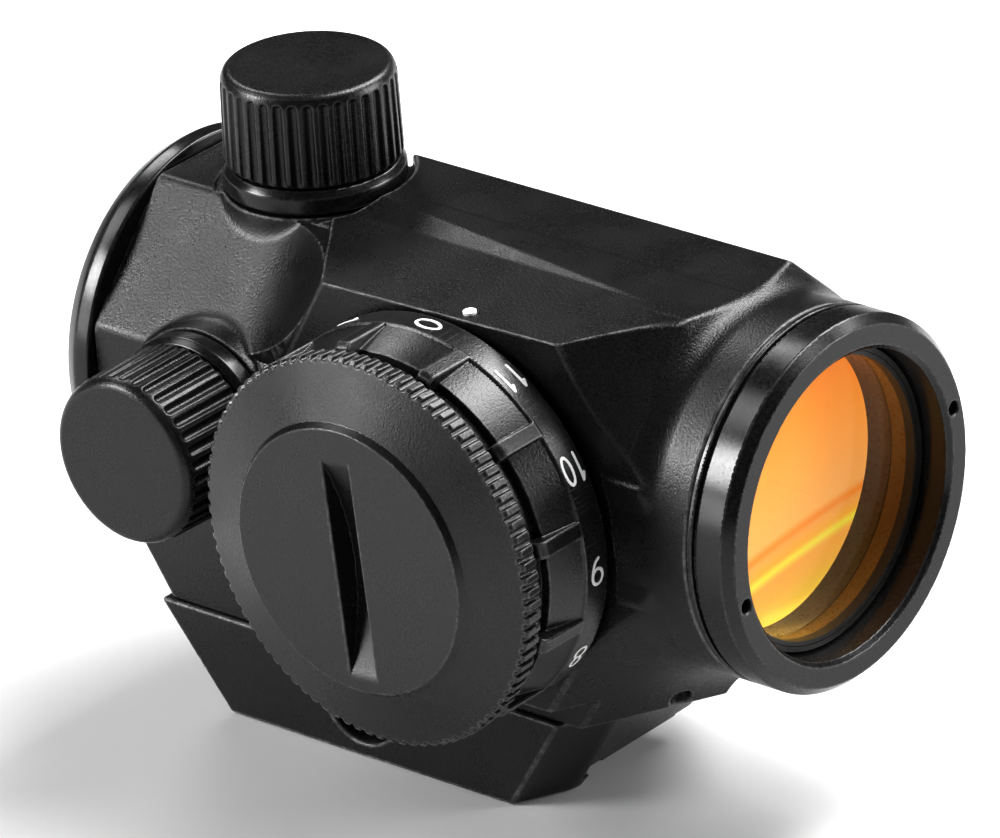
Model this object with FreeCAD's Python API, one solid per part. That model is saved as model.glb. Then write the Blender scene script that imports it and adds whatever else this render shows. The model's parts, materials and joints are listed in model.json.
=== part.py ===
import FreeCAD, Part
import math
import os

# Red dot finder: a tube sight that shows a reflected red dot in front of the target.
# Millimetres.  +Y points forward (towards the target), +X to the shooter's right, +Z up.
# Everything is drawn about the optical axis, then lifted by TO_RAIL, so that in the
# finished files the origin is the middle of the rail seat.

# ---- driving dimensions ----
AXIS_HEIGHT = 24.4          # optical axis above the rail seat
SEAT_CENTRE_Y = -7.5        # middle of the rail seat along the tube
TO_RAIL = FreeCAD.Vector(0, -SEAT_CENTRE_Y, AXIS_HEIGHT)
CLEARANCE = 0.05            # radial clearance of turning and sliding fits
BIG = 150.0                 # larger than the whole sight
BEYOND_SKIN = 20.0          # safely outside the housing, measured from the optical axis
INSIDE_BORE = 6.0           # safely inside its bore

# tube and body
BARREL_R = 13.9
BORE_R = 12.3
CORE_HALF = 13.6            # octagonal core: half width over the flats
CORE_TOP_HALF = 5.4         # half width of the core's top flat
CORE_SIDE_HALF = 4.6        # half height of the core's side flat
CORE_REAR_Y = -28.2
BARREL_FRONT_Y = 26.9
RIDGE_TOP_Z = 14.5
BOSS_FACE_X = 13.3          # flat face the brightness dial turns against

# objective end
FACE_Y = 31.0
BEZEL_REAR_Y = 27.2
BEZEL_BORE_R = 11.4
LENS_R = 10.8
LENS_FRONT_Y = 28.2

# inner tube, tilting about a ball-shaped collar
PIVOT_Y = 20.0
TUBE_R = 11.2
TUBE_BORE_R = 10.3
TUBE_REAR_Y = -24.5

# turrets
TURRET_Y = -17.6
TURRET_BASE_TOP = 15.5
TURRET_BASE_R = 6.75
TURRET_NECK_R = 5.3
SPIGOT_R = 5.67             # part of the turret base that sits in the housing
CAP_BOTTOM = 15.65
CAP_TOP = 22.9
CAP_R = 6.6

# brightness dial and battery cap, turning about an axis along X
DIAL_Y = 5.3
DIAL_Z = -0.95
DIAL_R = 14.9
DIAL_BACK_X = 13.9
DIAL_FRONT_X = 20.8
DIGIT_BAND_X = 16.4         # numbers sit between the dial's back edge and here
NUMBER_COUNT = 12
BATTERY_R = 10.0
BATTERY_T = 3.2
COVER_BACK_X = 21.1
COVER_RIM_X = 22.9
COVER_FACE_X = 24.8
COVER_R = 14.9

# rail base, for an 11 mm dovetail rail
BASE_TOP_Z = -18.4
SEAT_Z = -AXIS_HEIGHT
BASE_BOTTOM_Z = -26.2
BASE_HALF = 10.5
RAIL_HALF = 5.65
SEAT_HALF = 4.2             # half width of the raised seat between the relief grooves
CLAMP_SCREW_Z = -21.7
CLAMP_SCREW_R = 1.5

parts = {}


# ---- small tools ----
def vec(x, y, z):
    return FreeCAD.Vector(x, y, z)


def aim(shape, axis, centre):
    """Turn a shape drawn along Z so that it lies along the given axis, then move it."""
    if axis == "x":
        shape.rotate(vec(0, 0, 0), vec(0, 1, 0), 90)
    if axis == "y":
        shape.rotate(vec(0, 0, 0), vec(1, 0, 0), -90)
    shape.translate(vec(*centre))
    return shape


def turned(profile, axis="y", centre=(0, 0, 0)):
    """Solid of revolution from (distance along the axis, radius) pairs."""
    points = [vec(radius, 0, along) for along, radius in profile]
    face = Part.Face(Part.makePolygon(points + points[:1]))
    return aim(face.revolve(vec(0, 0, 0), vec(0, 0, 1), 360), axis, centre)


def rod(radius, start, end, axis="y", centre=(0, 0, 0)):
    cylinder = Part.makeCylinder(radius, end - start, vec(0, 0, start))
    return aim(cylinder, axis, centre)


def ring(outer, inner, start, end, axis="y", centre=(0, 0, 0)):
    return rod(outer, start, end, axis, centre).cut(rod(inner, start - 1, end + 1, axis, centre))


def o_ring(middle_r, thickness, along, axis="y", centre=(0, 0, 0)):
    return aim(Part.makeTorus(middle_r, thickness / 2.0, vec(0, 0, along)), axis, centre)


def box(x, y, z):
    """Box from (low, high) pairs."""
    return Part.makeBox(x[1] - x[0], y[1] - y[0], z[1] - z[0], vec(x[0], y[0], z[0]))


def prism(points, axis, start, end):
    """Prism with a corner outline: (y, z) pairs along X, or (x, z) pairs along Y."""
    if axis == "x":
        corners = [vec(start, a, b) for a, b in points]
        sweep = vec(end - start, 0, 0)
    else:
        corners = [vec(a, start, b) for a, b in points]
        sweep = vec(0, end - start, 0)
    return Part.Face(Part.makePolygon(corners + corners[:1])).extrude(sweep)


def beyond(normal, point):
    """Everything on the side of a plane that its normal points to."""
    block = Part.makeBox(BIG, BIG, BIG, vec(-BIG / 2, -BIG / 2, 0))
    turn = FreeCAD.Rotation(vec(0, 0, 1), vec(*normal))
    block.Placement = FreeCAD.Placement(vec(*point), turn)
    return block


def fused(shapes):
    joined = shapes[0]
    for shape in shapes[1:]:
        joined = joined.fuse(shape)
    return joined.removeSplitter()


def spin_copies(shape, count, axis_dir, centre):
    copies = []
    for index in range(count):
        copy = shape.copy()
        copy.rotate(vec(*centre), vec(*axis_dir), index * 360.0 / count)
        copies.append(copy)
    return copies


def hexagon(across_flats, start, end, axis, centre):
    corner_r = across_flats / math.sqrt(3)
    corners = []
    for index in range(6):
        angle = math.radians(60 * index)
        corners.append(vec(corner_r * math.cos(angle), corner_r * math.sin(angle), start))
    bar = Part.Face(Part.makePolygon(corners + corners[:1])).extrude(vec(0, 0, end - start))
    return aim(bar, axis, centre)


# ---- main housing ----
DIAL_CENTRE = (0, DIAL_Y, DIAL_Z)
WIRE_HOLE_R = 1.5
FRONT_SLOPE = (0.536, 0.731, 0.42)
REAR_SLOPE = (0.536, -0.731, 0.42)
BOSS_TOP_Z = 13.8
BOSS_CORNER_DY = 10.9       # from the dial axis to the boss's upper corners
LOWER_FRONT_SLOPE = (0.405, 0.775, -0.487)
LOWER_FRONT_FOOT = (0, 17.9, -19.3)
LOWER_HALF = 10.0
FLARE_R = 3.0               # hollow flare between the body and the barrel
FLARE_END_Y = 24.6
TURRET_AT = (0, TURRET_Y, 0)


def mirrored(normal):
    return (-normal[0], normal[1], normal[2])


def upside_down(normal):
    return (normal[0], normal[1], -normal[2])


def core_outline():
    """Octagonal section of the body, corners in (x, z)."""
    a = CORE_HALF
    t = CORE_TOP_HALF
    s = CORE_SIDE_HALF
    return [(t, a), (a, s), (a, -s), (t, -a), (-t, -a), (-a, -s), (-a, s), (-t, a)]


def boss_block():
    """Raised six-sided block on the right side that carries the brightness dial."""
    foot_z = 2 * DIAL_Z - BOSS_TOP_Z
    boss = box((0, BOSS_FACE_X), (DIAL_Y - 22, DIAL_Y + 22), (foot_z, RIDGE_TOP_Z))
    for normal, side in ((FRONT_SLOPE, 1), (REAR_SLOPE, -1)):
        corner_y = DIAL_Y + side * BOSS_CORNER_DY
        boss = boss.cut(beyond(normal, (BOSS_FACE_X, corner_y, BOSS_TOP_Z)))
        boss = boss.cut(beyond(upside_down(normal), (BOSS_FACE_X, corner_y, foot_z)))
    return boss


def ridge_block():
    """Flat-topped ridge along the upper body."""
    top_half = 6.0
    slope_foot = top_half + RIDGE_TOP_Z - 10
    outline = [(-top_half, RIDGE_TOP_Z), (top_half, RIDGE_TOP_Z), (slope_foot, 10), (-slope_foot, 10)]
    ridge = prism(outline, "y", -13.4, FLARE_END_Y)
    rear_corner = (BOSS_FACE_X, DIAL_Y - BOSS_CORNER_DY, BOSS_TOP_Z)
    return ridge.cut(beyond(REAR_SLOPE, rear_corner))


def flare_limit():
    """Round outline the body's front is trimmed to where it flares down to the barrel."""
    outline = [(-60, 0), (-60, 60), (FLARE_END_Y - FLARE_R, 60)]
    steps = 8
    for step in range(steps + 1):
        angle = math.pi + 0.5 * math.pi * step / steps
        along = FLARE_END_Y + FLARE_R * math.cos(angle)
        outline.append((along, BARREL_R + FLARE_R * (1 + math.sin(angle))))
    outline.append((FLARE_END_Y, 0))
    return turned(outline)


def shoulder_cut():
    """Material taken off between the ridge's tapering facet and the boss's flat shoulder."""
    facet = beyond((0.268, -0.037, 0.963), (5.0, 16.8, RIDGE_TOP_Z))
    shoulder = beyond((0.05, -0.027, 0.998), (BOSS_FACE_X, DIAL_Y + 11.2, BOSS_TOP_Z + 0.3))
    return facet.common(shoulder).common(box((0, 40), (-12.5, 40), (0, 40)))


def lower_block():
    """Foot of the housing, standing on the rail base."""
    foot = box((-LOWER_HALF, LOWER_HALF), (-26.4, 26), (BASE_TOP_Z, -6))
    return foot.cut(beyond((0, -0.84, -0.54), (0, -26.4, -17.6)))


def front_slopes(body):
    """Three slopes on each side that narrow the body towards the barrel."""
    corner_y = DIAL_Y + BOSS_CORNER_DY
    boss_foot_z = 2 * DIAL_Z - BOSS_TOP_Z
    upper = beyond(FRONT_SLOPE, (BOSS_FACE_X, corner_y, BOSS_TOP_Z))
    middle = beyond(upside_down(FRONT_SLOPE), (BOSS_FACE_X, corner_y, boss_foot_z))
    lower = beyond(LOWER_FRONT_SLOPE, LOWER_FRONT_FOOT)
    for waste in (upper, middle, lower):
        body = body.cut(waste).cut(waste.mirror(vec(0, 0, 0), vec(1, 0, 0)))
    return body


def main_housing():
    body = prism(core_outline(), "y", CORE_REAR_Y, FLARE_END_Y)
    body = front_slopes(body.fuse(ridge_block()).fuse(lower_block()))
    body = body.fuse(boss_block()).cut(shoulder_cut()).common(flare_limit())
    body = body.fuse(rod(BARREL_R, 15, BARREL_FRONT_Y)).removeSplitter()
    # flat seats for the top turret and for the brightness dial
    body = body.cut(rod(TURRET_BASE_R + 0.5, CORE_HALF, BEYOND_SKIN, "z", TURRET_AT))
    body = body.cut(rod(DIAL_R + 0.4, BOSS_FACE_X, BEYOND_SKIN, "x", DIAL_CENTRE))
    for axis in ("z", "x"):
        body = body.fuse(rod(TURRET_BASE_R + 0.15, INSIDE_BORE, CORE_HALF, axis, TURRET_AT))
    body = body.removeSplitter().cut(rod(BORE_R, -BIG / 2, BIG / 2))
    # pockets for the two turret bases
    for axis in ("z", "x"):
        body = body.cut(rod(SPIGOT_R + 0.03, INSIDE_BORE, BEYOND_SKIN, axis, TURRET_AT))
    # wire hole behind the dial, base screw holes and the pivot's grub screw hole
    body = body.cut(rod(WIRE_HOLE_R, INSIDE_BORE, BEYOND_SKIN, "x", DIAL_CENTRE))
    for screw_y in BASE_SCREW_Y:
        body = body.cut(rod(BASE_SCREW_R, BASE_TOP_Z - 1, BASE_SCREW_END_Z + 0.2, "z", (0, screw_y, 0)))
    return body.cut(grub_screw_shape(0, GRUB_R, 6.5)).cut(index_mark())


# ---- grub screw in the lower front of the housing ----
GRUB_HEAD = (3.4, 17.1, -17.6)
GRUB_LENGTH = 3.6
GRUB_R = 0.8


def grub_screw_shape(start, radius, length):
    """Rod along the grub screw's axis, running in from its mouth."""
    inward = vec(-0.15, -0.3, 0.94)
    inward.normalize()
    mouth = vec(*GRUB_HEAD) + inward * (start - 1.2)
    return Part.makeCylinder(radius, length, mouth, inward)


def grub_screw():
    body = grub_screw_shape(1.8, GRUB_R - 0.01, GRUB_LENGTH)
    return body.cut(grub_screw_shape(1.7, 0.35, 1.2))


# ---- rail base, jaw and clamp screw ----
BASE_SCREW_Y = (-17.0, 2.0)
BASE_SCREW_R = 1.5
BASE_SCREW_END_Z = -13.8
JAW_SPLIT_X = -6.3
GUIDE_PIN_Y = (-14.5, -0.5)


def base_ends(block):
    """Sloping ends shared by the base and its jaw."""
    block = block.cut(beyond((0, 0.85, -0.53), (0, 8.8, BASE_BOTTOM_Z)))
    block = block.cut(beyond((0, -0.78, -0.62), (0, -20.4, BASE_BOTTOM_Z)))
    for normal in (LOWER_FRONT_SLOPE, mirrored(LOWER_FRONT_SLOPE)):
        corner_x = math.copysign(BASE_HALF, normal[0])
        block = block.cut(beyond(normal, (corner_x, 6.5, BASE_BOTTOM_Z)))
    return block


def rail_slot():
    """Space for the dovetail rail, undercut on the fixed side."""
    outline = [(JAW_SPLIT_X - 6, SEAT_Z), (RAIL_HALF, SEAT_Z), (RAIL_HALF, SEAT_Z - 0.6),
               (RAIL_HALF - 0.55, SEAT_Z - 1.4), (RAIL_HALF - 0.55, SEAT_Z - 4),
               (JAW_SPLIT_X - 6, SEAT_Z - 4)]
    return prism(outline, "y", -40, 40)


def rail_base():
    base = box((JAW_SPLIT_X, BASE_HALF), (-40, 30), (BASE_BOTTOM_Z, BASE_TOP_Z))
    roof = box((-BASE_HALF + 0.25, 0), (-40, 30), (BASE_TOP_Z - 1.3, BASE_TOP_Z))
    base = base_ends(base.fuse(roof)).removeSplitter().cut(rail_slot())
    # relief grooves beside the seat, so that the rail's corners stay clear
    for low, high in ((SEAT_HALF, RAIL_HALF), (JAW_SPLIT_X - 1, -SEAT_HALF)):
        base = base.cut(box((low, high), (-40, 40), (SEAT_Z - 1, SEAT_Z + 0.3)))
    clamp_at = (0, SEAT_CENTRE_Y, CLAMP_SCREW_Z)
    base = base.cut(rod(CLAMP_SCREW_R + CLEARANCE, -20, 20, "x", clamp_at))
    base = base.cut(rod(3.4, 7.0, 20, "x", clamp_at))
    for pin_y in GUIDE_PIN_Y:
        base = base.cut(rod(1.01, JAW_SPLIT_X - 1, JAW_SPLIT_X + 3.7, "x", (0, pin_y, CLAMP_SCREW_Z)))
    for screw_y in BASE_SCREW_Y:
        at = (0, screw_y, 0)
        base = base.cut(rod(1.6, -30, -10, "z", at)).cut(rod(2.9, -30, SEAT_Z + 2.3, "z", at))
    return base


def clamp_jaw():
    jaw = box((-BASE_HALF + 0.2, JAW_SPLIT_X - 0.15), (-40, 3.6), (BASE_BOTTOM_Z, BASE_TOP_Z - 1.5))
    hook = box((JAW_SPLIT_X - 1, -RAIL_HALF + 0.55), (-40, 3.6), (BASE_BOTTOM_Z, SEAT_Z - 1.0))
    jaw = base_ends(jaw.fuse(hook)).removeSplitter()
    jaw = jaw.cut(beyond((0.82, 0, 0.57), (-RAIL_HALF + 0.55, 0, SEAT_Z - 1.4)).common(
        box((JAW_SPLIT_X - 0.15, 0), (-40, 30), (-30, SEAT_Z))))
    jaw = jaw.cut(rod(CLAMP_SCREW_R + CLEARANCE, -20, 0, "x", (0, SEAT_CENTRE_Y, CLAMP_SCREW_Z)))
    for pin_y in GUIDE_PIN_Y:
        jaw = jaw.cut(rod(1.0 + CLEARANCE, -8.6, 0, "x", (0, pin_y, CLAMP_SCREW_Z)))
    return jaw


def clamp_screw():
    at = (0, SEAT_CENTRE_Y, CLAMP_SCREW_Z)
    head_back = -BASE_HALF + 0.2 - 0.02
    head = turned([(head_back, 0), (head_back, 3.2), (head_back - 2.0, 3.2), (head_back - 2.4, 2.8),
                   (head_back - 2.4, 0)], "x", at)
    screw = head.fuse(rod(CLAMP_SCREW_R, head_back - 0.5, 9.2, "x", at))
    return screw.cut(hexagon(2.5, head_back - 3, head_back - 1.2, "x", at))


def clamp_nut():
    at = (0, SEAT_CENTRE_Y, CLAMP_SCREW_Z)
    return hexagon(5.5, 7.05, 9.4, "x", at).cut(rod(CLAMP_SCREW_R + CLEARANCE, 5, 12, "x", at))


def jaw_guide_pins():
    pins = [rod(1.0, -8.4, JAW_SPLIT_X + 3.5, "x", (0, y, CLAMP_SCREW_Z)) for y in GUIDE_PIN_Y]
    return Part.Compound(pins)


def base_screws():
    screws = []
    for screw_y in BASE_SCREW_Y:
        at = (0, screw_y, 0)
        head_top = SEAT_Z + 2.3
        screw = rod(2.75, head_top - 1.8, head_top, "z", at)
        screw = screw.fuse(rod(BASE_SCREW_R - 0.01, head_top, BASE_SCREW_END_Z, "z", at))
        screws.append(screw.cut(hexagon(2.0, head_top - 2, head_top - 0.8, "z", at)))
    return Part.Compound(screws)


# ---- objective and ocular ends ----
def objective_bezel():
    spigot_end = 22.4
    outline = [(FACE_Y, BEZEL_BORE_R + 0.2), (FACE_Y, BARREL_R - 0.5), (FACE_Y - 0.6, BARREL_R),
               (BEZEL_REAR_Y + 0.3, BARREL_R), (BEZEL_REAR_Y, BARREL_R - 0.3),
               (BEZEL_REAR_Y, BORE_R - 0.03), (spigot_end, BORE_R - 0.03), (spigot_end, BEZEL_BORE_R),
               (FACE_Y - 0.2, BEZEL_BORE_R)]
    bezel = turned(outline)
    spanner_hole = rod(0.55, FACE_Y - 1.6, FACE_Y + 1, "y", (0, 0, 12.4))
    spanner_hole.rotate(vec(0, 0, 0), vec(0, 1, 0), 103)
    return bezel.cut(spin_copies(spanner_hole, 2, (0, 1, 0), (0, 0, 0)))


def ocular_ring():
    outline = [(CORE_REAR_Y - 0.1, BORE_R - 0.03), (CORE_REAR_Y - 0.1, 14.5), (CORE_REAR_Y - 1.5, 14.5),
               (CORE_REAR_Y - 2.8, 13.7), (CORE_REAR_Y - 2.8, 11.3), (CORE_REAR_Y - 1.4, 10.4),
               (CORE_REAR_Y - 0.2, 10.4), (CORE_REAR_Y - 0.2, 11.4), (CORE_REAR_Y + 2.8, 11.4),
               (CORE_REAR_Y + 2.8, BORE_R - 0.03)]
    return turned(outline)


def rear_window():
    return rod(11.35, CORE_REAR_Y - 0.15, CORE_REAR_Y + 1.2)


def window_retainer():
    return ring(11.37, 10.4, CORE_REAR_Y + 1.25, CORE_REAR_Y + 2.3)


def bezel_seal():
    return o_ring(12.95, 0.24, BEZEL_REAR_Y - 0.15)


# ---- inner tube with the lens and the dot lamp ----
def ball_collar():
    """Ball-shaped collar the tube tilts on."""
    ball = Part.makeSphere(BORE_R - CLEARANCE, vec(0, PIVOT_Y, 0))
    return ball.common(rod(BORE_R + 1, PIVOT_Y - 1.6, PIVOT_Y + 1.6))


def inner_tube():
    shell = rod(TUBE_R, TUBE_REAR_Y, 28.6).fuse(ball_collar())
    shell = shell.cut(rod(TUBE_BORE_R, TUBE_REAR_Y - 1, 40)).removeSplitter()
    return shell.cut(rod(LENS_R + 0.02, 24.0, 40))


def lens_solid(front, back, front_sag, back_sag, radius):
    """Round lens; sags are how far the middle of each face bulges forward."""
    steps = 10
    front_face = []
    back_face = []
    for step in range(steps + 1):
        r = radius * step / steps
        fall = (r / radius) ** 2
        front_face.append((front + front_sag * (1 - fall), r))
        back_face.append((back + back_sag * (1 - fall), r))
    return turned(front_face + back_face[::-1])


def objective_lens_front():
    return lens_solid(LENS_FRONT_Y - 0.5, 26.2, -0.45, -0.9, LENS_R)


def objective_lens_rear():
    return lens_solid(26.15, 24.05, -0.9, -0.6, LENS_R)


def lens_retainer():
    return ring(LENS_R - 0.02, 10.45, LENS_FRONT_Y - 0.45, 28.55)


def pivot_seat_ring():
    """Ring behind the ball collar, hollowed to the same ball."""
    blank = ring(BORE_R - 0.02, TUBE_R + 0.5, 16.4, 18.3)
    return blank.cut(Part.makeSphere(BORE_R, vec(0, PIVOT_Y, 0)))


LAMP_AT = (8.3, -20.0, -4.2)


def lamp_holder():
    """Small arm inside the tube that points the lamp at the lens."""
    x, y, z = LAMP_AT
    arm = box((x - 1.3, x + 3), (y - 3.4, y), (z - 1.4, z + 1.4))
    arm = arm.common(rod(TUBE_BORE_R - 0.02, y - 5, y + 5))
    return arm.cut(rod(0.85, y - 1.2, y + 1, "y", (x, 0, z)))


def lamp():
    x, y, z = LAMP_AT
    body = rod(0.8, y - 1.15, y + 0.5, "y", (x, 0, z))
    return body.fuse(Part.makeSphere(0.8, vec(x, y + 0.5, z)))


def tube_return_spring():
    """Bowed leaf under the rear of the tube that holds it against both turret tips."""
    leaf = ring(BORE_R - 0.06, BORE_R - 0.36, -22, -13)
    return leaf.common(box((-20, -4.5), (-30, 0), (-20, -4.5)))


# ---- turrets (drawn standing on the top; the second is laid over to the right side) ----
def turret_base():
    outline = [(12.75, 2.05), (12.75, SPIGOT_R), (CORE_HALF + 0.02, SPIGOT_R),
               (CORE_HALF + 0.02, TURRET_BASE_R - 0.2), (CORE_HALF + 0.3, TURRET_BASE_R),
               (TURRET_BASE_TOP - 0.5, TURRET_BASE_R),
               (TURRET_BASE_TOP, TURRET_BASE_R - 0.4), (TURRET_BASE_TOP, TURRET_NECK_R),
               (18.9, TURRET_NECK_R), (19.2, TURRET_NECK_R - 0.3), (19.2, 3.9), (15.6, 3.9), (15.6, 2.05)]
    return turned(outline, "z", TURRET_AT)


def turret_seal():
    return o_ring(TURRET_NECK_R + 0.22, 0.36, TURRET_BASE_TOP + 0.42, "z", TURRET_AT)


def turret_screw():
    """Adjusting screw with a coin slot and a graduated drum."""
    outline = [(12.9, 1.25), (12.9, 2.0), (16.3, 2.0), (16.3, 3.8), (18.8, 3.8), (19.1, 3.5), (19.1, 0),
               (13.8, 0), (13.8, 1.25)]
    screw = turned(outline, "z", TURRET_AT)
    slot = box((-5, 5), (TURRET_Y - 0.5, TURRET_Y + 0.5), (18.1, 20))
    return screw.cut(slot)


def turret_plunger():
    """Non-turning tip between the screw and the tube."""
    outline = [(TUBE_R + 0.03, 0), (TUBE_R + 0.03, 0.9), (TUBE_R + 0.3, 1.2), (13.75, 1.2), (13.75, 0)]
    return turned(outline, "z", TURRET_AT)


def turret_click_ring():
    """Thin toothed click ring under the drum."""
    return ring(3.7, 2.1, 15.62, 15.78, "z", TURRET_AT)


FLUTE_COUNT = 36


def turret_cap():
    inside_r = TURRET_NECK_R + CLEARANCE
    ceiling = CAP_TOP - 1.5
    outline = [(CAP_BOTTOM, TURRET_NECK_R + 0.5), (CAP_BOTTOM, CAP_R - 0.25), (CAP_BOTTOM + 0.3, CAP_R),
               (CAP_TOP - 0.6, CAP_R - 0.15), (CAP_TOP, CAP_R - 0.6), (CAP_TOP, 0), (ceiling, 0),
               (ceiling, inside_r), (CAP_BOTTOM + 0.75, inside_r), (CAP_BOTTOM + 0.75, TURRET_NECK_R + 0.5)]
    cap = turned(outline, "z", TURRET_AT)
    flute = rod(0.3, CAP_BOTTOM + 0.7, CAP_TOP - 0.4, "z", (CAP_R + 0.08, TURRET_Y, 0))
    return cap.cut(spin_copies(flute, FLUTE_COUNT, (0, 0, 1), TURRET_AT))


def laid_to_side(shape):
    """Lay a top turret part over onto the right side of the body."""
    side = shape.copy()
    side.rotate(vec(*TURRET_AT), vec(0, 1, 0), 90)
    return side


# ---- brightness dial, battery and battery cap ----
SWITCH_R = 12.6             # fixed plate inside the dial's skirt
DETENT_R = 11.0             # the click ball runs on this radius
DETENT_BALL_X = 14.7
DETENT_AT = (0, DIAL_Y, DIAL_Z + DETENT_R)
NUMBER_TURN = -3.5          # the numbers sit a little before the index


def ring_of(shape, count=NUMBER_COUNT):
    return spin_copies(shape, count, (1, 0, 0), DIAL_CENTRE)


def switch_base():
    """Fixed plate the dial turns on, with its centre post."""
    back_x = BOSS_FACE_X + 0.02
    outline = [(back_x, 0), (back_x, SWITCH_R), (15.2, SWITCH_R), (15.2, 3.0), (16.15, 3.0), (16.15, 0)]
    plate = turned(outline, "x", DIAL_CENTRE)
    plate = plate.cut(rod(1.0, 13, 17, "x", DIAL_CENTRE))
    return plate.cut(rod(0.62, 13.9, 15.3, "x", DETENT_AT))


def gimbal_ring():
    """Thin ring round the tube that tips up and down only and stops the tube turning."""
    return ring(12.0, 11.45, 14.2, 15.8)


def switch_board():
    return ring(9.5, 3.1, 15.25, 15.75, "x", DIAL_CENTRE)


def detent_ball():
    return Part.makeSphere(0.55, vec(DETENT_BALL_X, DIAL_Y, DIAL_Z + DETENT_R))


def detent_spring():
    return ring(0.5, 0.3, 13.92, 14.12, "x", DETENT_AT)


def dial_wiper():
    """Contact arm under the dial that sweeps the board."""
    arm = ring(8.8, 6.8, 15.8, 16.05, "x", DIAL_CENTRE)
    return arm.common(box((10, 20), (DIAL_Y - 3, DIAL_Y + 3), (DIAL_Z, 20)))


def brightness_dial():
    skirt_r = SWITCH_R + CLEARANCE
    thread_r = 12.45
    outline = [(DIAL_BACK_X, skirt_r), (DIAL_BACK_X, DIAL_R - 0.2), (DIAL_BACK_X + 0.2, DIAL_R),
               (DIGIT_BAND_X, DIAL_R), (DIGIT_BAND_X + 0.1, DIAL_R - 0.15), (19.5, DIAL_R - 0.75),
               (19.6, DIAL_R - 1.1), (DIAL_FRONT_X, DIAL_R - 1.1), (DIAL_FRONT_X, thread_r),
               (17.9, thread_r), (17.9, 10.4), (17.0, 10.4), (17.0, 1.3), (16.2, 1.3), (16.2, 9.8),
               (15.3, 9.8), (15.3, skirt_r)]
    dial = turned(outline, "x", DIAL_CENTRE)
    rib = box((DIGIT_BAND_X, DIAL_FRONT_X - 0.1), (DIAL_Y - 0.65, DIAL_Y + 0.65),
              (DIAL_Z + DIAL_R - 1.3, DIAL_Z + DIAL_R + 0.1))
    rib.rotate(vec(*DIAL_CENTRE), vec(1, 0, 0), 15 + NUMBER_TURN)
    dimple = Part.makeSphere(0.72, vec(DETENT_BALL_X, DIAL_Y, DIAL_Z + DETENT_R))
    dial = fused([dial] + ring_of(rib))
    return dial.cut(ring_of(dimple))


def dial_number_marks():
    """Painted number places, one small plate for each brightness setting."""
    back_x = 14.2
    front_x = 16.3
    half_width = 1.3
    shell = ring(DIAL_R + 0.07, DIAL_R + 0.01, back_x, front_x, "x", DIAL_CENTRE)
    wedge = box((back_x, front_x), (DIAL_Y - half_width, DIAL_Y + half_width), (DIAL_Z + 10, DIAL_Z + 20))
    mark = shell.common(wedge)
    mark.rotate(vec(*DIAL_CENTRE), vec(1, 0, 0), NUMBER_TURN)
    return Part.Compound(ring_of(mark))


def dial_screw():
    """Shouldered screw that keeps the dial on its post."""
    outline = [(14.0, 0), (14.0, 0.98), (16.2, 0.98), (16.2, 1.25), (17.02, 1.25), (17.02, 2.4),
               (17.6, 2.4), (17.6, 0)]
    screw = turned(outline, "x", DIAL_CENTRE)
    return screw.cut(box((17.2, 18), (0, 20), (DIAL_Z - 0.3, DIAL_Z + 0.3)))


def battery_spring():
    """Flat contact star under the battery."""
    return ring(5.6, 2.9, 17.02, 17.3, "x", DIAL_CENTRE)


BATTERY_BACK_X = 17.75


def battery():
    front_x = BATTERY_BACK_X + BATTERY_T
    outline = [(BATTERY_BACK_X, 0), (BATTERY_BACK_X, BATTERY_R - 1.4),
               (BATTERY_BACK_X + 0.3, BATTERY_R - 0.2), (BATTERY_BACK_X + 0.6, BATTERY_R),
               (front_x - 0.2, BATTERY_R),
               (front_x, BATTERY_R - 0.2), (front_x, 0)]
    return turned(outline, "x", DIAL_CENTRE)


def cover_contact():
    """Sprung contact disc inside the cap."""
    return rod(4.5, 21.0, 21.35, "x", DIAL_CENTRE)


COIN_SLOT_HALF = 8.3
COIN_SLOT_TILT = 4.5
TOOTH_COUNT = 90


def coin_slot():
    """Slot cut by a round saw, so its floor is an arc."""
    depth = 2.0
    saw_r = (COIN_SLOT_HALF ** 2 + depth ** 2) / (2 * depth)
    saw = rod(saw_r, -1.2, 1.2, "y", (COVER_FACE_X + saw_r - depth, DIAL_Y, DIAL_Z - 0.7))
    saw.rotate(vec(*DIAL_CENTRE), vec(1, 0, 0), COIN_SLOT_TILT)
    return saw


def battery_cap():
    plug_r = 12.4
    outline = [(18.1, 10.6), (18.1, plug_r), (DIAL_FRONT_X + 0.1, plug_r), (COVER_BACK_X, plug_r + 0.2),
               (COVER_BACK_X, COVER_R - 0.4), (COVER_BACK_X + 0.2, COVER_R - 0.1),
               (COVER_RIM_X - 0.1, COVER_R), (COVER_RIM_X, COVER_R - 0.3),
               (24.3, 10.4), (COVER_FACE_X, 10.1), (COVER_FACE_X, 0), (21.4, 0), (21.4, 10.6)]
    cap = turned(outline, "x", DIAL_CENTRE).cut(coin_slot())
    tooth_gap = rod(0.22, COVER_BACK_X - 1, COVER_RIM_X + 1, "x", (0, DIAL_Y, DIAL_Z + COVER_R + 0.06))
    return cap.cut(ring_of(tooth_gap, TOOTH_COUNT))


def cap_seal():
    return o_ring(13.05, 0.28, DIAL_FRONT_X + 0.15, "x", DIAL_CENTRE)


def index_mark():
    """White dot the numbers are read against."""
    return Part.makeCylinder(0.5, 0.35, vec(BOSS_FACE_X - 1.1, 7.2, 13.75), vec(0.05, -0.027, 0.998))


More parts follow.
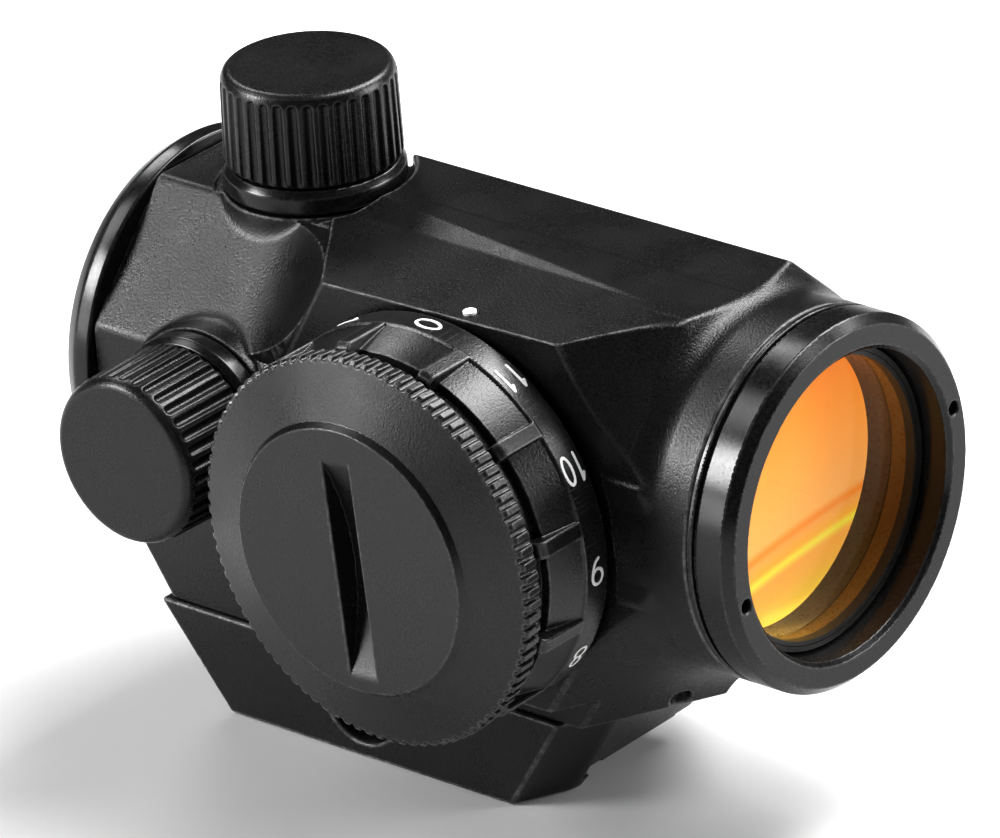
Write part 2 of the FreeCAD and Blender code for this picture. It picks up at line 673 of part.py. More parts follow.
# ---- hand the parts over ----
parts["main_housing"] = main_housing()
parts["grub_screw"] = grub_screw()
parts["index_mark"] = index_mark()
parts["objective_bezel"] = objective_bezel()
parts["bezel_seal"] = bezel_seal()
parts["ocular_ring"] = ocular_ring()
parts["rear_window"] = rear_window()
parts["window_retainer"] = window_retainer()
parts["inner_tube"] = inner_tube()
parts["objective_lens_front"] = objective_lens_front()
parts["objective_lens_rear"] = objective_lens_rear()
parts["lens_retainer"] = lens_retainer()
parts["pivot_seat_ring"] = pivot_seat_ring()
parts["gimbal_ring"] = gimbal_ring()
parts["lamp_holder"] = lamp_holder()
parts["lamp"] = lamp()
parts["tube_return_spring"] = tube_return_spring()
turret_parts = {
    "base": turret_base(),
    "seal": turret_seal(),
    "screw": turret_screw(),
    "plunger": turret_plunger(),
    "click_ring": turret_click_ring(),
    "cap": turret_cap(),
}
for name, shape in turret_parts.items():
    parts["elevation_" + name] = shape
    parts["windage_" + name] = laid_to_side(shape)
parts["switch_base"] = switch_base()
parts["switch_board"] = switch_board()
parts["detent_ball"] = detent_ball()
parts["detent_spring"] = detent_spring()
parts["brightness_dial"] = brightness_dial()
parts["dial_number_marks"] = dial_number_marks()
parts["dial_wiper"] = dial_wiper()
parts["dial_screw"] = dial_screw()
parts["battery_spring"] = battery_spring()
parts["battery"] = battery()
parts["battery_cap"] = battery_cap()
parts["cap_seal"] = cap_seal()
parts["cover_contact"] = cover_contact()
parts["rail_base"] = rail_base()
parts["base_screws"] = base_screws()
parts["clamp_jaw"] = clamp_jaw()
parts["clamp_screw"] = clamp_screw()
parts["clamp_nut"] = clamp_nut()
parts["jaw_guide_pins"] = jaw_guide_pins()

os.makedirs("parts", exist_ok=True)
for name, shape in parts.items():
    shape.translate(TO_RAIL)
    shape.exportStep("parts/" + name + ".step")
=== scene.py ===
import json
import math

import bpy
import numpy as np
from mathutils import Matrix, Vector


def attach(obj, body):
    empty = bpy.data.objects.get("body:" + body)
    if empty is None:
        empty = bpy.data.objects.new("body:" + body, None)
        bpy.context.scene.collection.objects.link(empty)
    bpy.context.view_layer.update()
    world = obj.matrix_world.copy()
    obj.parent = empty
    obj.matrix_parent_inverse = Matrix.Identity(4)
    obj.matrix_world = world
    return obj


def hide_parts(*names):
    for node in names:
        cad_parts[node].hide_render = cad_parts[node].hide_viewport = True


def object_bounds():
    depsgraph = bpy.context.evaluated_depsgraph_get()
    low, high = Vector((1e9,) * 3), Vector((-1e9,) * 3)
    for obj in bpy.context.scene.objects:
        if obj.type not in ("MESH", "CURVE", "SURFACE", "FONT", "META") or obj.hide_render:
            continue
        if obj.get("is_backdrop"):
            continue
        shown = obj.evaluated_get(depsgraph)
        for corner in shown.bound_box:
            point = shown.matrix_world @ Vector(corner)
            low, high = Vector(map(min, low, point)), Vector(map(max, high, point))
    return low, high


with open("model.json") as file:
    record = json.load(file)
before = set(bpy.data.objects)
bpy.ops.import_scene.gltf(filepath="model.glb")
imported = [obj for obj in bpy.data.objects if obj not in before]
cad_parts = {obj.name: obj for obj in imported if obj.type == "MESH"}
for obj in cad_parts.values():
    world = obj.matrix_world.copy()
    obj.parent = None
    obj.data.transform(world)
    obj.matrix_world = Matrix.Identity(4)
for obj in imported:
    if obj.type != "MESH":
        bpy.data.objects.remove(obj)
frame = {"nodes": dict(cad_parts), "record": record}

import openvdb
from mathutils import Matrix, Vector

# Looks for the red dot finder.  Shapes are described in millimetres about the optical axis
# (+Y towards the target, +X to the dial's side, +Z up) and placed in the row frame by to_row().

MM = 0.001
TO_ROW = np.array([0.0, 7.5, 24.4])         # optical-axis frame to row frame

CORE_HALF = 13.6            # half the width and height of the octagonal body
CORE_REAR_Y = -28.2
BARREL_R = 13.9
BORE_R = 12.3
BEZEL_REAR_Y = 27.2
FACE_Y = 31.0               # front face of the bezel
TURRET_Y = -17.6
DIAL_Y = 5.3
DIAL_Z = -0.95
BOSS_FACE_X = 13.3          # face of the boss that the dial turns on


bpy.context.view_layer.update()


# ---- placing and finishing meshes ----
def to_row(points):
    """Points in millimetres about the optical axis, as metres in the row frame."""
    return (np.asarray(points, float) + TO_ROW) * MM


def body_of_node(node):
    for body, nodes in frame["record"]["behaviour"]["bodies"].items():
        if node in nodes:
            return body
    raise ValueError(node)


def slot_of_node(node):
    for row in frame["record"]["subparts"]:
        if row["node"] == node:
            return row["material_slot"]
    raise ValueError(node)


def add_piece(name, mesh, material, node):
    """Put a finished mesh in the scene in place of a CAD node."""
    piece = bpy.data.objects.new(name, mesh)
    bpy.context.scene.collection.objects.link(piece)
    mesh.materials.clear()
    mesh.materials.append(material)
    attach(piece, body_of_node(node))
    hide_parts(node)
    return piece


def set_wear(mesh, wear):
    """Store how worn each vertex is (0 to 1), for the materials."""
    attribute = mesh.attributes.new("wear", "FLOAT", "POINT")
    attribute.data.foreach_set("value", np.asarray(wear, np.float32))


# ---- distance fields: negative inside, in millimetres ----
def soft_max(a, b, k):
    """Larger of two distances, with the edge between them rounded over a width k."""
    blend = np.maximum(k - np.abs(a - b), 0) / k
    return np.maximum(a, b) + blend * blend * k * 0.25


def soft_min(a, b, k):
    """Smaller of two distances, with the corner between them filled over a width k."""
    return -soft_max(-a, -b, k)


def plane(x, y, z, normal, point):
    """Distance beyond a plane, on the side its normal points to."""
    n = np.array(normal, float)
    n /= np.linalg.norm(n)
    offset = float(np.dot(n, point))
    return x * n[0] + y * n[1] + z * n[2] - offset


def polygon(a, r, outline):
    """Distance to a closed outline of (a, r) corners."""
    nearest = np.full(np.broadcast(a, r).shape, 1e6, np.float32)
    inside = np.zeros(nearest.shape, bool)
    count = len(outline)
    for index in range(count):
        a0, r0 = outline[index]
        a1, r1 = outline[(index + 1) % count]
        da, dr = a1 - a0, r1 - r0
        share = np.clip(((a - a0) * da + (r - r0) * dr) / (da * da + dr * dr), 0, 1)
        gap = (a - a0 - share * da) ** 2 + (r - r0 - share * dr) ** 2
        nearest = np.minimum(nearest, gap)
        if r0 != r1:
            crosses = ((r0 <= r) != (r1 <= r)) & (a < a0 + (r - r0) * da / dr)
            inside ^= crosses
    return np.where(inside, -1, 1) * np.sqrt(nearest)


def inset(outline, depth):
    """The outline moved inwards, so that growing it again by depth rounds its corners."""
    area = sum(p[0] * q[1] - q[0] * p[1] for p, q in zip(outline, outline[1:] + outline[:1]))
    turn = 1 if area > 0 else -1
    moved = []
    count = len(outline)
    for index in range(count):
        before = np.subtract(outline[index], outline[index - 1])
        after = np.subtract(outline[(index + 1) % count], outline[index])
        before = before / np.linalg.norm(before)
        after = after / np.linalg.norm(after)
        n0 = np.array([-before[1], before[0]]) * turn
        n1 = np.array([-after[1], after[0]]) * turn
        step = (n0 + n1) / max(1 + float(n0 @ n1), 0.3)
        moved.append(tuple(np.array(outline[index]) + step * depth))
    return moved


MARGIN_STEPS = 2.5          # grid steps left free round a meshed field
REACH_STEPS = 3.0           # grid steps over which its distances are kept
SETTLE_ROUNDS = 3           # times the thinned vertices are moved back on to the surface
MAX_MOVE_STEPS = 0.6


def field_mesh(name, field, low, high, step, keep=0.35):
    """Mesh of a distance field, thinned where it is flat, with exact normals and edge wear.

    field(x, y, z) gives the distance in millimetres; keep is the share of faces that stays.
    """
    low = np.array(low, float) - MARGIN_STEPS * step
    counts = np.ceil((np.array(high, float) + MARGIN_STEPS * step - low) / step).astype(int) + 1
    x = (low[0] + step * np.arange(counts[0], dtype=np.float32)).reshape(-1, 1, 1)
    y = (low[1] + step * np.arange(counts[1], dtype=np.float32)).reshape(1, -1, 1)
    z = (low[2] + step * np.arange(counts[2], dtype=np.float32)).reshape(1, 1, -1)
    reach = REACH_STEPS * step
    values = np.clip(field(x, y, z), -reach, reach).astype(np.float32)
    grid = openvdb.FloatGrid(reach)
    grid.copyFromArray(values)
    points, quads = grid.convertToQuads(0)
    points = low + points * step

    rough = bpy.data.meshes.new(name + "_rough")
    rough.from_pydata(points.tolist(), [], quads.tolist())
    holder = bpy.data.objects.new(name + "_rough", rough)
    bpy.context.scene.collection.objects.link(holder)
    thin = holder.modifiers.new("thin", "DECIMATE")
    thin.ratio = keep
    evaluated = holder.evaluated_get(bpy.context.evaluated_depsgraph_get())
    mesh = bpy.data.meshes.new_from_object(evaluated)
    mesh.name = name
    bpy.data.objects.remove(holder)
    bpy.data.meshes.remove(rough)

    co = np.zeros(len(mesh.vertices) * 3)
    mesh.vertices.foreach_get("co", co)
    co = co.reshape(-1, 3)
    max_move = MAX_MOVE_STEPS * step
    for _ in range(SETTLE_ROUNDS):
        normals = slope(field, co)
        value = field(co[:, 0], co[:, 1], co[:, 2])
        co = co - normals * np.clip(value, -max_move, max_move)[:, None]
    normals = slope(field, co)
    mesh.vertices.foreach_set("co", to_row(co).ravel())
    mesh.polygons.foreach_set("use_smooth", np.ones(len(mesh.polygons), bool))
    mesh.update()
    mesh.normals_split_custom_set_from_vertices(normals.tolist())
    set_wear(mesh, edge_wear(field, co))
    return mesh


BEND_REACH = 0.1            # millimetres over which the bend of a surface is felt
WEAR_FROM = 1.3             # bend, per millimetre, at which wear starts
WEAR_SPAN = 1.5             # further bend up to full wear


def edge_wear(field, co):
    """0 on flat ground, 1 on tight outward edges, from how fast the field bends."""
    bend = -6 * field(co[:, 0], co[:, 1], co[:, 2])
    for axis in range(3):
        for side in (-BEND_REACH, BEND_REACH):
            near = co.copy()
            near[:, axis] += side
            bend = bend + field(near[:, 0], near[:, 1], near[:, 2])
    return np.clip((bend / BEND_REACH ** 2 - WEAR_FROM) / WEAR_SPAN, 0, 1)


def slope(field, co):
    """Outward unit normal of a field at points."""
    tiny = 0.01
    parts = []
    for axis in range(3):
        ahead = co.copy()
        back = co.copy()
        ahead[:, axis] += tiny
        back[:, axis] -= tiny
        parts.append(field(ahead[:, 0], ahead[:, 1], ahead[:, 2])
                     - field(back[:, 0], back[:, 1], back[:, 2]))
    normals = np.stack(parts, axis=1)
    length = np.linalg.norm(normals, axis=1, keepdims=True)
    return normals / np.maximum(length, 1e-9)


CORNER_STEPS = 4
LATHE_WEAR = 0.5            # wear of a turned part's rounded corners


def lathe_mesh(name, outline, axis, centre, rounding=0.12, segments=192):
    """Turned part from a closed outline of (along, radius) corners, corners rounded."""
    profile = []
    wear = []
    count = len(outline)
    for index in range(count):
        here = np.array(outline[index], float)
        before = np.array(outline[index - 1], float) - here
        after = np.array(outline[(index + 1) % count], float) - here
        reach = min(rounding, 0.42 * np.linalg.norm(before), 0.42 * np.linalg.norm(after))
        start = here + before / np.linalg.norm(before) * reach
        end = here + after / np.linalg.norm(after) * reach
        for step in range(CORNER_STEPS + 1):
            t = step / CORNER_STEPS
            profile.append((1 - t) ** 2 * start + 2 * t * (1 - t) * here + t * t * end)
            wear.append(LATHE_WEAR if 0 < step < CORNER_STEPS else 0.0)
    profile = np.array(profile)
    rows = len(profile)
    angles = np.linspace(0, 2 * math.pi, segments, endpoint=False)
    along = np.repeat(profile[:, 0][:, None], segments, axis=1)
    across = profile[:, 1][:, None] * np.cos(angles)
    up = profile[:, 1][:, None] * np.sin(angles)
    local = {"x": (along, across, up), "y": (up, along, across), "z": (across, up, along)}[axis]
    points = np.stack([part.ravel() for part in local], axis=1) + np.array(centre, float)
    faces = []
    for row in range(rows):
        next_row = (row + 1) % rows
        for column in range(segments):
            next_column = (column + 1) % segments
            faces.append((row * segments + column, row * segments + next_column,
                          next_row * segments + next_column, next_row * segments + column))
    mesh = bpy.data.meshes.new(name)
    mesh.from_pydata(to_row(points).tolist(), [], faces)
    mesh.validate()
    set_wear(mesh, np.repeat(wear, segments))
    mesh.polygons.foreach_set("use_smooth", np.ones(len(mesh.polygons), bool))
    make_outward(mesh)
    return mesh


def make_outward(mesh):
    """Turn the faces so that the closed mesh holds a positive volume."""
    volume = 0.0
    vertices = mesh.vertices
    for face in mesh.polygons:
        a, b, c = (vertices[i].co for i in face.vertices[:3])
        volume += a.dot(b.cross(c))
        if len(face.vertices) == 4:
            d = vertices[face.vertices[3]].co
            volume += a.dot(c.cross(d))
    if volume < 0:
        mesh.flip_normals()
    mesh.update()


# ---- materials ----
def new_material(name):
    """Material with nothing but a principled shader, its node tree and that shader."""
    material = bpy.data.materials.new(name)
    material.use_nodes = True
    nodes = material.node_tree.nodes
    nodes.clear()
    output = nodes.new("ShaderNodeOutputMaterial")
    shader = nodes.new("ShaderNodeBsdfPrincipled")
    material.node_tree.links.new(shader.outputs["BSDF"], output.inputs["Surface"])
    return material, material.node_tree, shader


def noise(tree, size_mm, detail=3.0, roughness=0.55, stretch=(1, 1, 1)):
    """Noise with features about size_mm across, fixed to the object."""
    place = tree.nodes.new("ShaderNodeTexCoord")
    scale = tree.nodes.new("ShaderNodeMapping")
    scale.inputs["Scale"].default_value = stretch
    texture = tree.nodes.new("ShaderNodeTexNoise")
    texture.inputs["Scale"].default_value = 1.0 / (size_mm * MM)
    texture.inputs["Detail"].default_value = detail
    texture.inputs["Roughness"].default_value = roughness
    tree.links.new(place.outputs["Object"], scale.inputs["Vector"])
    tree.links.new(scale.outputs["Vector"], texture.inputs["Vector"])
    return texture.outputs["Fac"]


def remap(tree, source, low_in, high_in, low_out, high_out):
    """A socket's value moved from one range to another, and held within it."""
    node = tree.nodes.new("ShaderNodeMapRange")
    node.inputs["From Min"].default_value = low_in
    node.inputs["From Max"].default_value = high_in
    node.inputs["To Min"].default_value = low_out
    node.inputs["To Max"].default_value = high_out
    tree.links.new(source, node.inputs["Value"])
    return node.outputs["Result"]


def calculate(tree, operation, a, b):
    """Sum or product of two values or sockets, held between 0 and 1."""
    node = tree.nodes.new("ShaderNodeMath")
    node.operation = operation
    node.use_clamp = True
    for socket, value in zip(node.inputs, (a, b)):
        if isinstance(value, (int, float)):
            socket.default_value = value
        else:
            tree.links.new(value, socket)
    return node.outputs["Value"]


def mix_colour(tree, share, dark, light):
    """Blend of two colours or sockets; share 0 gives the first and 1 the second."""
    node = tree.nodes.new("ShaderNodeMix")
    node.data_type = "RGBA"
    if isinstance(share, (int, float)):
        node.inputs["Factor"].default_value = share
    else:
        tree.links.new(share, node.inputs["Factor"])
    for socket, value in ((node.inputs[6], dark), (node.inputs[7], light)):
        if isinstance(value, tuple):
            socket.default_value = (*value, 1.0)
        else:
            tree.links.new(value, socket)
    return node.outputs[2]


def bump(tree, shader, height, strength, distance_mm):
    """Make a pattern stand out of the surface by distance_mm."""
    node = tree.nodes.new("ShaderNodeBump")
    node.inputs["Strength"].default_value = strength
    node.inputs["Distance"].default_value = distance_mm * MM
    tree.links.new(height, node.inputs["Height"])
    tree.links.new(node.outputs["Normal"], shader.inputs["Normal"])


def vary(tree, pattern, low, high, half_range=0.2):
    """A noise pattern, which keeps near one half, stretched to run from low to high."""
    return remap(tree, pattern, 0.5 - half_range, 0.5 + half_range, low, high)


WORN_METAL = (0.32, 0.32, 0.33)
GRAIN_DARKEST = 0.6         # shares of the colour between which the grain runs
GRAIN_LIGHTEST = 1.5
SHARP = 0.15                # half range of a noise pattern that is to have more contrast
GLOSS_SPREAD = 0.06         # slow changes of roughness across a part
GLOSS_GRAIN = 0.03          # fine changes of roughness


def finish_metal(name, colour, roughness, grain_mm, grain_height, wear_share, metallic=0.0, specular=0.5):
    """Anodised or blackened metal: blasted grain, slightly uneven gloss, edges rubbed paler."""
    material, tree, shader = new_material(name)
    fine = noise(tree, grain_mm)
    broad = noise(tree, size_mm=5.0, detail=4.0)
    mottle = noise(tree, size_mm=0.6)
    dark = tuple(channel * GRAIN_DARKEST for channel in colour)
    light = tuple(channel * GRAIN_LIGHTEST for channel in colour)
    base = mix_colour(tree, vary(tree, fine, 0, 1, SHARP), dark, light)
    attribute = tree.nodes.new("ShaderNodeAttribute")
    attribute.attribute_name = "wear"
    rubbed = calculate(tree, "MULTIPLY", attribute.outputs["Fac"], vary(tree, mottle, 0.25, 1, SHARP))
    rubbed = calculate(tree, "MULTIPLY", rubbed, wear_share)
    tree.links.new(mix_colour(tree, rubbed, base, WORN_METAL), shader.inputs["Base Color"])
    gloss = vary(tree, broad, roughness - GLOSS_SPREAD, roughness + GLOSS_SPREAD)
    gloss = calculate(tree, "ADD", gloss, vary(tree, fine, -GLOSS_GRAIN, GLOSS_GRAIN))
    tree.links.new(gloss, shader.inputs["Roughness"])
    shader.inputs["Metallic"].default_value = metallic
    shader.inputs["Specular IOR Level"].default_value = specular
    bump(tree, shader, fine, strength=1.0, distance_mm=grain_height)
    return material


def finish_bright(name, colour, roughness, streak=(1, 1, 1)):
    """Bare metal with fine tool marks."""
    material, tree, shader = new_material(name)
    marks = noise(tree, size_mm=0.25, detail=4.0, roughness=0.6, stretch=streak)
    broad = noise(tree, size_mm=2.5)
    dark = tuple(channel * 0.8 for channel in colour)
    tree.links.new(mix_colour(tree, vary(tree, broad, 0, 1), dark, colour), shader.inputs["Base Color"])
    tree.links.new(vary(tree, marks, roughness - 0.08, roughness + 0.1), shader.inputs["Roughness"])
    shader.inputs["Metallic"].default_value = 1.0
    bump(tree, shader, marks, strength=0.4, distance_mm=0.01)
    return material


def finish_plain(name, colour, roughness, grain_mm=0.3, grain_height=0.008):
    """Moulded plastic, rubber or paint."""
    material, tree, shader = new_material(name)
    fine = noise(tree, grain_mm)
    broad = noise(tree, size_mm=3.0)
    dark = tuple(channel * 0.88 for channel in colour)
    tree.links.new(mix_colour(tree, vary(tree, broad, 0, 1), dark, colour), shader.inputs["Base Color"])
    tree.links.new(vary(tree, fine, roughness - 0.06, roughness + 0.06), shader.inputs["Roughness"])
    bump(tree, shader, fine, strength=0.4, distance_mm=grain_height)
    return material


LENS_TINTS = (                      # height across the coating in mm, colour from the foot up; these colours also glow, as painted reflection
    (-10.0, (0.99, 0.66, 0.10)),
    (-8.8, (1.00, 0.54, 0.10)),
    (-7.6, (0.99, 0.48, 0.10)),
    (-7.0, (0.97, 0.84, 0.10)),
    (-6.5, (0.99, 0.50, 0.06)),
    (-5.7, (0.97, 0.45, 0.12)),
    (-5.2, (0.95, 0.30, 0.03)),
    (-4.6, (0.99, 0.50, 0.16)),
    (0.0, (0.97, 0.40, 0.08)),
    (3.0, (0.95, 0.33, 0.04)),
    (7.0, (0.92, 0.24, 0.012)),
)
TINT_REACH_MM = 11.0        # half the height that the tints above cover
TINT_LEAN = (0.1, 0, 1)     # the bands across the coating slope a little
AMBER_CLOUD = (1.0, 0.62, 0.2)
AMBER_MIRROR = (0.05, 0.03, 0.01)
AMBER_PAINTED_REFLECTION_GLOW = 0.85           # painted reflection: a glow that stands for the bright room that the coating mirrors


def finish_amber():
    """Amber mirror coating: deep orange at the top, paler below, with straight bands low down; these
    colours also glow as a painted reflection of a bright room.
    """
    material, tree, shader = new_material("amber_coating")
    place = tree.nodes.new("ShaderNodeTexCoord")
    height = tree.nodes.new("ShaderNodeVectorMath")
    height.operation = "DOT_PRODUCT"
    height.inputs[1].default_value = TINT_LEAN
    tree.links.new(place.outputs["Object"], height.inputs[0])
    middle = TO_ROW[2] * MM
    reach = TINT_REACH_MM * MM
    share = remap(tree, height.outputs["Value"], middle - reach, middle + reach, 0, 1)
    ramp = tree.nodes.new("ShaderNodeValToRGB")
    stops = ramp.color_ramp.elements
    while len(stops) < len(LENS_TINTS):
        stops.new(0.5)
    for stop, (level, colour) in zip(stops, LENS_TINTS):
        stop.position = (level * MM + reach) / (2 * reach)
        stop.color = (*colour, 1)
    tree.links.new(share, ramp.inputs["Fac"])
    cloud = noise(tree, size_mm=14.0, detail=1.0)
    tint = mix_colour(tree, vary(tree, cloud, 0, 0.12), ramp.outputs["Color"], AMBER_CLOUD)
    tree.links.new(mix_colour(tree, 0.55, tint, AMBER_MIRROR), shader.inputs["Base Color"])
    # painted reflection: the tint glows as if the coating mirrored a bright room
    tree.links.new(tint, shader.inputs["Emission Color"])
    shader.inputs["Emission Strength"].default_value = AMBER_PAINTED_REFLECTION_GLOW
    tree.links.new(vary(tree, cloud, 0.26, 0.34), shader.inputs["Roughness"])
    shader.inputs["Metallic"].default_value = 0.9
    return material


def finish_glass(name, tint, reflect, share):
    """Thin coated glass: mostly clear, with a tinted reflection that grows to share at grazing."""
    material = bpy.data.materials.new(name)
    material.use_nodes = True
    tree = material.node_tree
    tree.nodes.clear()
    output = tree.nodes.new("ShaderNodeOutputMaterial")
    clear = tree.nodes.new("ShaderNodeBsdfTransparent")
    clear.inputs["Color"].default_value = (*tint, 1)
    gloss = tree.nodes.new("ShaderNodeBsdfGlossy")
    gloss.inputs["Color"].default_value = (*reflect, 1)
    smears = noise(tree, size_mm=4.0, detail=4.0)
    tree.links.new(vary(tree, smears, 0.03, 0.09), gloss.inputs["Roughness"])
    facing = tree.nodes.new("ShaderNodeLayerWeight")
    facing.inputs["Blend"].default_value = 0.5
    mixed = tree.nodes.new("ShaderNodeMixShader")
    sheen = remap(tree, facing.outputs["Facing"], 0.1, 1.0, share * 0.3, share)
    tree.links.new(sheen, mixed.inputs["Fac"])
    tree.links.new(clear.outputs["BSDF"], mixed.inputs[1])
    tree.links.new(gloss.outputs["BSDF"], mixed.inputs[2])
    tree.links.new(mixed.outputs["Shader"], output.inputs["Surface"])
    return material


BLACK = (0.0085, 0.0085, 0.0088)
BORE_BLACK = (0.014, 0.013, 0.012)
STEEL_BLACK = (0.03, 0.03, 0.03)
MATERIALS = {
    "black_anodised": finish_metal("blasted_black", BLACK, roughness=0.30, grain_mm=0.17,
                                   grain_height=0.036, wear_share=0.4, specular=0.4),
    "black_gloss": finish_metal("turned_black", BLACK, roughness=0.24, grain_mm=0.25,
                                grain_height=0.003, wear_share=0.12, specular=0.42),
    "black_knob": finish_metal("knob_black", BLACK, roughness=0.29, grain_mm=0.16,
                               grain_height=0.02, wear_share=0.10, specular=0.4),
    "black_dial": finish_metal("dial_black", BLACK, roughness=0.30, grain_mm=0.18,
                               grain_height=0.02, wear_share=0.22),
    "black_bore": finish_metal("bore_black", BORE_BLACK, roughness=0.42, grain_mm=0.3,
                               grain_height=0.006, wear_share=0.2),
    "black_steel": finish_metal("blackened_steel", STEEL_BLACK, roughness=0.4, grain_mm=0.2,
                                grain_height=0.006, wear_share=0.5, metallic=0.3),
    "black_plastic": finish_plain("black_plastic", (0.02, 0.02, 0.02), roughness=0.5),
    "board_green": finish_plain("board_green", (0.02, 0.13, 0.05), roughness=0.4),
    "rubber": finish_plain("rubber", (0.014, 0.014, 0.014), roughness=0.75),
    "white_paint": finish_plain("white_paint", (0.82, 0.82, 0.81), roughness=0.45, grain_mm=0.2,
                                grain_height=0.01),
    "red_lamp": finish_plain("red_lamp", (0.75, 0.02, 0.015), roughness=0.15),
    "spring_steel": finish_bright("spring_steel", (0.6, 0.6, 0.6), roughness=0.28, streak=(1, 1, 6)),
    "gold_contact": finish_bright("gold_contact", (0.85, 0.62, 0.22), roughness=0.25),
    "brass": finish_bright("brass", (0.74, 0.56, 0.25), roughness=0.3, streak=(1, 1, 5)),
    "clear_glass": finish_glass("coated_glass", tint=(0.985, 0.98, 0.96), reflect=(0.85, 0.75, 0.6),
                                share=0.03),
    "amber_glass": finish_amber(),
}
RIM_OCHRE = finish_plain("lens_rim_ochre", (0.20, 0.115, 0.03), roughness=0.3)
RIM_GREY = finish_plain("lens_rim_grey", (0.10, 0.08, 0.078), roughness=0.3)
for node, cad_object in frame["nodes"].items():
    cad_object.data.materials.clear()
    cad_object.data.materials.append(MATERIALS[slot_of_node(node)])


# ---- main housing ----
HOUSING_EDGE = 0.30         # rounding of the body's edges
FRONT_SLOPE = (0.536, 0.731, 0.42)
REAR_SLOPE = (0.536, -0.731, 0.42)
LOWER_SLOPE = (0.405, 0.775, -0.487)
BOSS_TOP_Z = 13.8
BOSS_FOOT_Z = 2 * DIAL_Z - BOSS_TOP_Z
BOSS_REAR_Y = DIAL_Y - 10.9
BOSS_FRONT_Y = DIAL_Y + 10.9
RIDGE_TOP_Z = 14.5
RIDGE_HALF_W = 6.0
RIDGE_REAR_Y = -13.4
SHOULDER_REAR_Y = -12.5
FOOT_HALF_W = 10.0
BASE_TOP_Z = -18.4
FLARE_END_Y = 24.6
FLARE_R = 3.0
BARREL_START_Y = 15
TURRET_SPOT_R = 6.9         # round seat under each turret, and the hole in it
TURRET_SPOT_FOOT = 6
TURRET_HOLE_R = 5.7
TURRET_HOLE_FOOT = 8
DIAL_SEAT_R = 15.3
DIAL_SHAFT_R = 1.5
DIAL_SHAFT_FOOT_X = 8
GRUB_MOUTH = (3.4, 17.1, -17.6)
GRUB_INWARD = (-0.15, -0.3, 0.94)
GRUB_R = 0.8


def flipped(normal):
    """The same slope, facing down instead of up."""
    return (normal[0], normal[1], -normal[2])


def cylinder(across, up, radius):
    """Distance from a cylinder's skin; with radius 0, from its axis."""
    return np.sqrt(across * across + up * up) - radius


def rear_slope(x, y, z):
    """Slope at the rear of the boss, which also ends the ridge."""
    return plane(x, y, z, REAR_SLOPE, (BOSS_FACE_X, BOSS_REAR_Y, BOSS_TOP_Z))


def corner_face(x, y, z):
    """The four sloping faces of the octagonal body."""
    return plane(np.abs(x), y, np.abs(z), (9.0, 0, 8.2), (5.4, 0, CORE_HALF))


def core_field(x, y, z, edge):
    core = soft_max(np.maximum(np.abs(x), np.abs(z)) - CORE_HALF, corner_face(x, y, z), edge)
    return soft_max(core, CORE_REAR_Y - y, edge)


def boss_field(x, y, z, edge):
    boss = soft_max(x - BOSS_FACE_X, -x, edge)
    boss = soft_max(boss, rear_slope(x, y, z), edge)
    low_corner = (BOSS_FACE_X, BOSS_REAR_Y, BOSS_FOOT_Z)
    boss = soft_max(boss, plane(x, y, z, flipped(REAR_SLOPE), low_corner), edge)
    return soft_max(boss, np.maximum(z - RIDGE_TOP_Z, BOSS_FOOT_Z - z), edge)


def ridge_field(x, y, z, edge):
    side = plane(np.abs(x), y, z, (1, 0, 1), (RIDGE_HALF_W, 0, RIDGE_TOP_Z))
    ridge = soft_max(z - RIDGE_TOP_Z, side, edge)
    ridge = np.maximum(ridge, 8 - z)
    ridge = soft_max(ridge, RIDGE_REAR_Y - y, edge)
    return soft_max(ridge, rear_slope(x, y, z), edge)


def foot_field(x, y, z, edge):
    """Block under the body that the rail base is screwed to."""
    foot = soft_max(np.abs(x) - FOOT_HALF_W, BASE_TOP_Z - z, edge * 0.4)
    foot = np.maximum(foot, z + 6)
    return soft_max(foot, plane(x, y, z, (0, -0.84, -0.54), (0, -26.4, -17.6)), edge)


def rear_valley(x, y, z):
    """Rounded filling between a corner face and the rear slope, between the two turrets."""
    valley = soft_min(corner_face(x, y, z), rear_slope(x, y, z), 4.0)
    valley = np.maximum(valley, np.maximum(x - 12.9, z - 13.3))
    return np.maximum(np.maximum(valley, -z), np.maximum(-28 - y, 4 - x))


def front_slopes(x, y, z, edge):
    """Faces that narrow the body towards the barrel."""
    side = np.abs(x)
    upper = plane(side, y, z, FRONT_SLOPE, (BOSS_FACE_X, BOSS_FRONT_Y, BOSS_TOP_Z))
    middle = plane(side, y, z, flipped(FRONT_SLOPE), (BOSS_FACE_X, BOSS_FRONT_Y, BOSS_FOOT_Z))
    lower = plane(side, y, z, LOWER_SLOPE, (0, 17.9, -19.3))
    return soft_max(soft_max(upper, middle, edge * 4), lower, edge * 3)


def shoulder_field(x, y, z):
    """Two nearly level faces between the ridge's top and the boss."""
    wedge = plane(x, y, z, (0.268, -0.037, 0.963), (5.0, 16.8, RIDGE_TOP_Z))
    boss_top = plane(x, y, z, (0.05, -0.027, 0.998), (BOSS_FACE_X, DIAL_Y + 11.2, 14.1))
    return soft_min(wedge, boss_top, 0.04)


def flare_field(x, y, z):
    """Hollow flare from the slopes down to the barrel."""
    out = cylinder(x, z, 0)
    to_centre = np.sqrt((y - FLARE_END_Y) ** 2 + (out - BARREL_R - FLARE_R) ** 2)
    flare = np.where(out > BARREL_R + FLARE_R, y - FLARE_END_Y + FLARE_R, FLARE_R - to_centre)
    return np.where(y > FLARE_END_Y, cylinder(x, z, BARREL_R), flare)


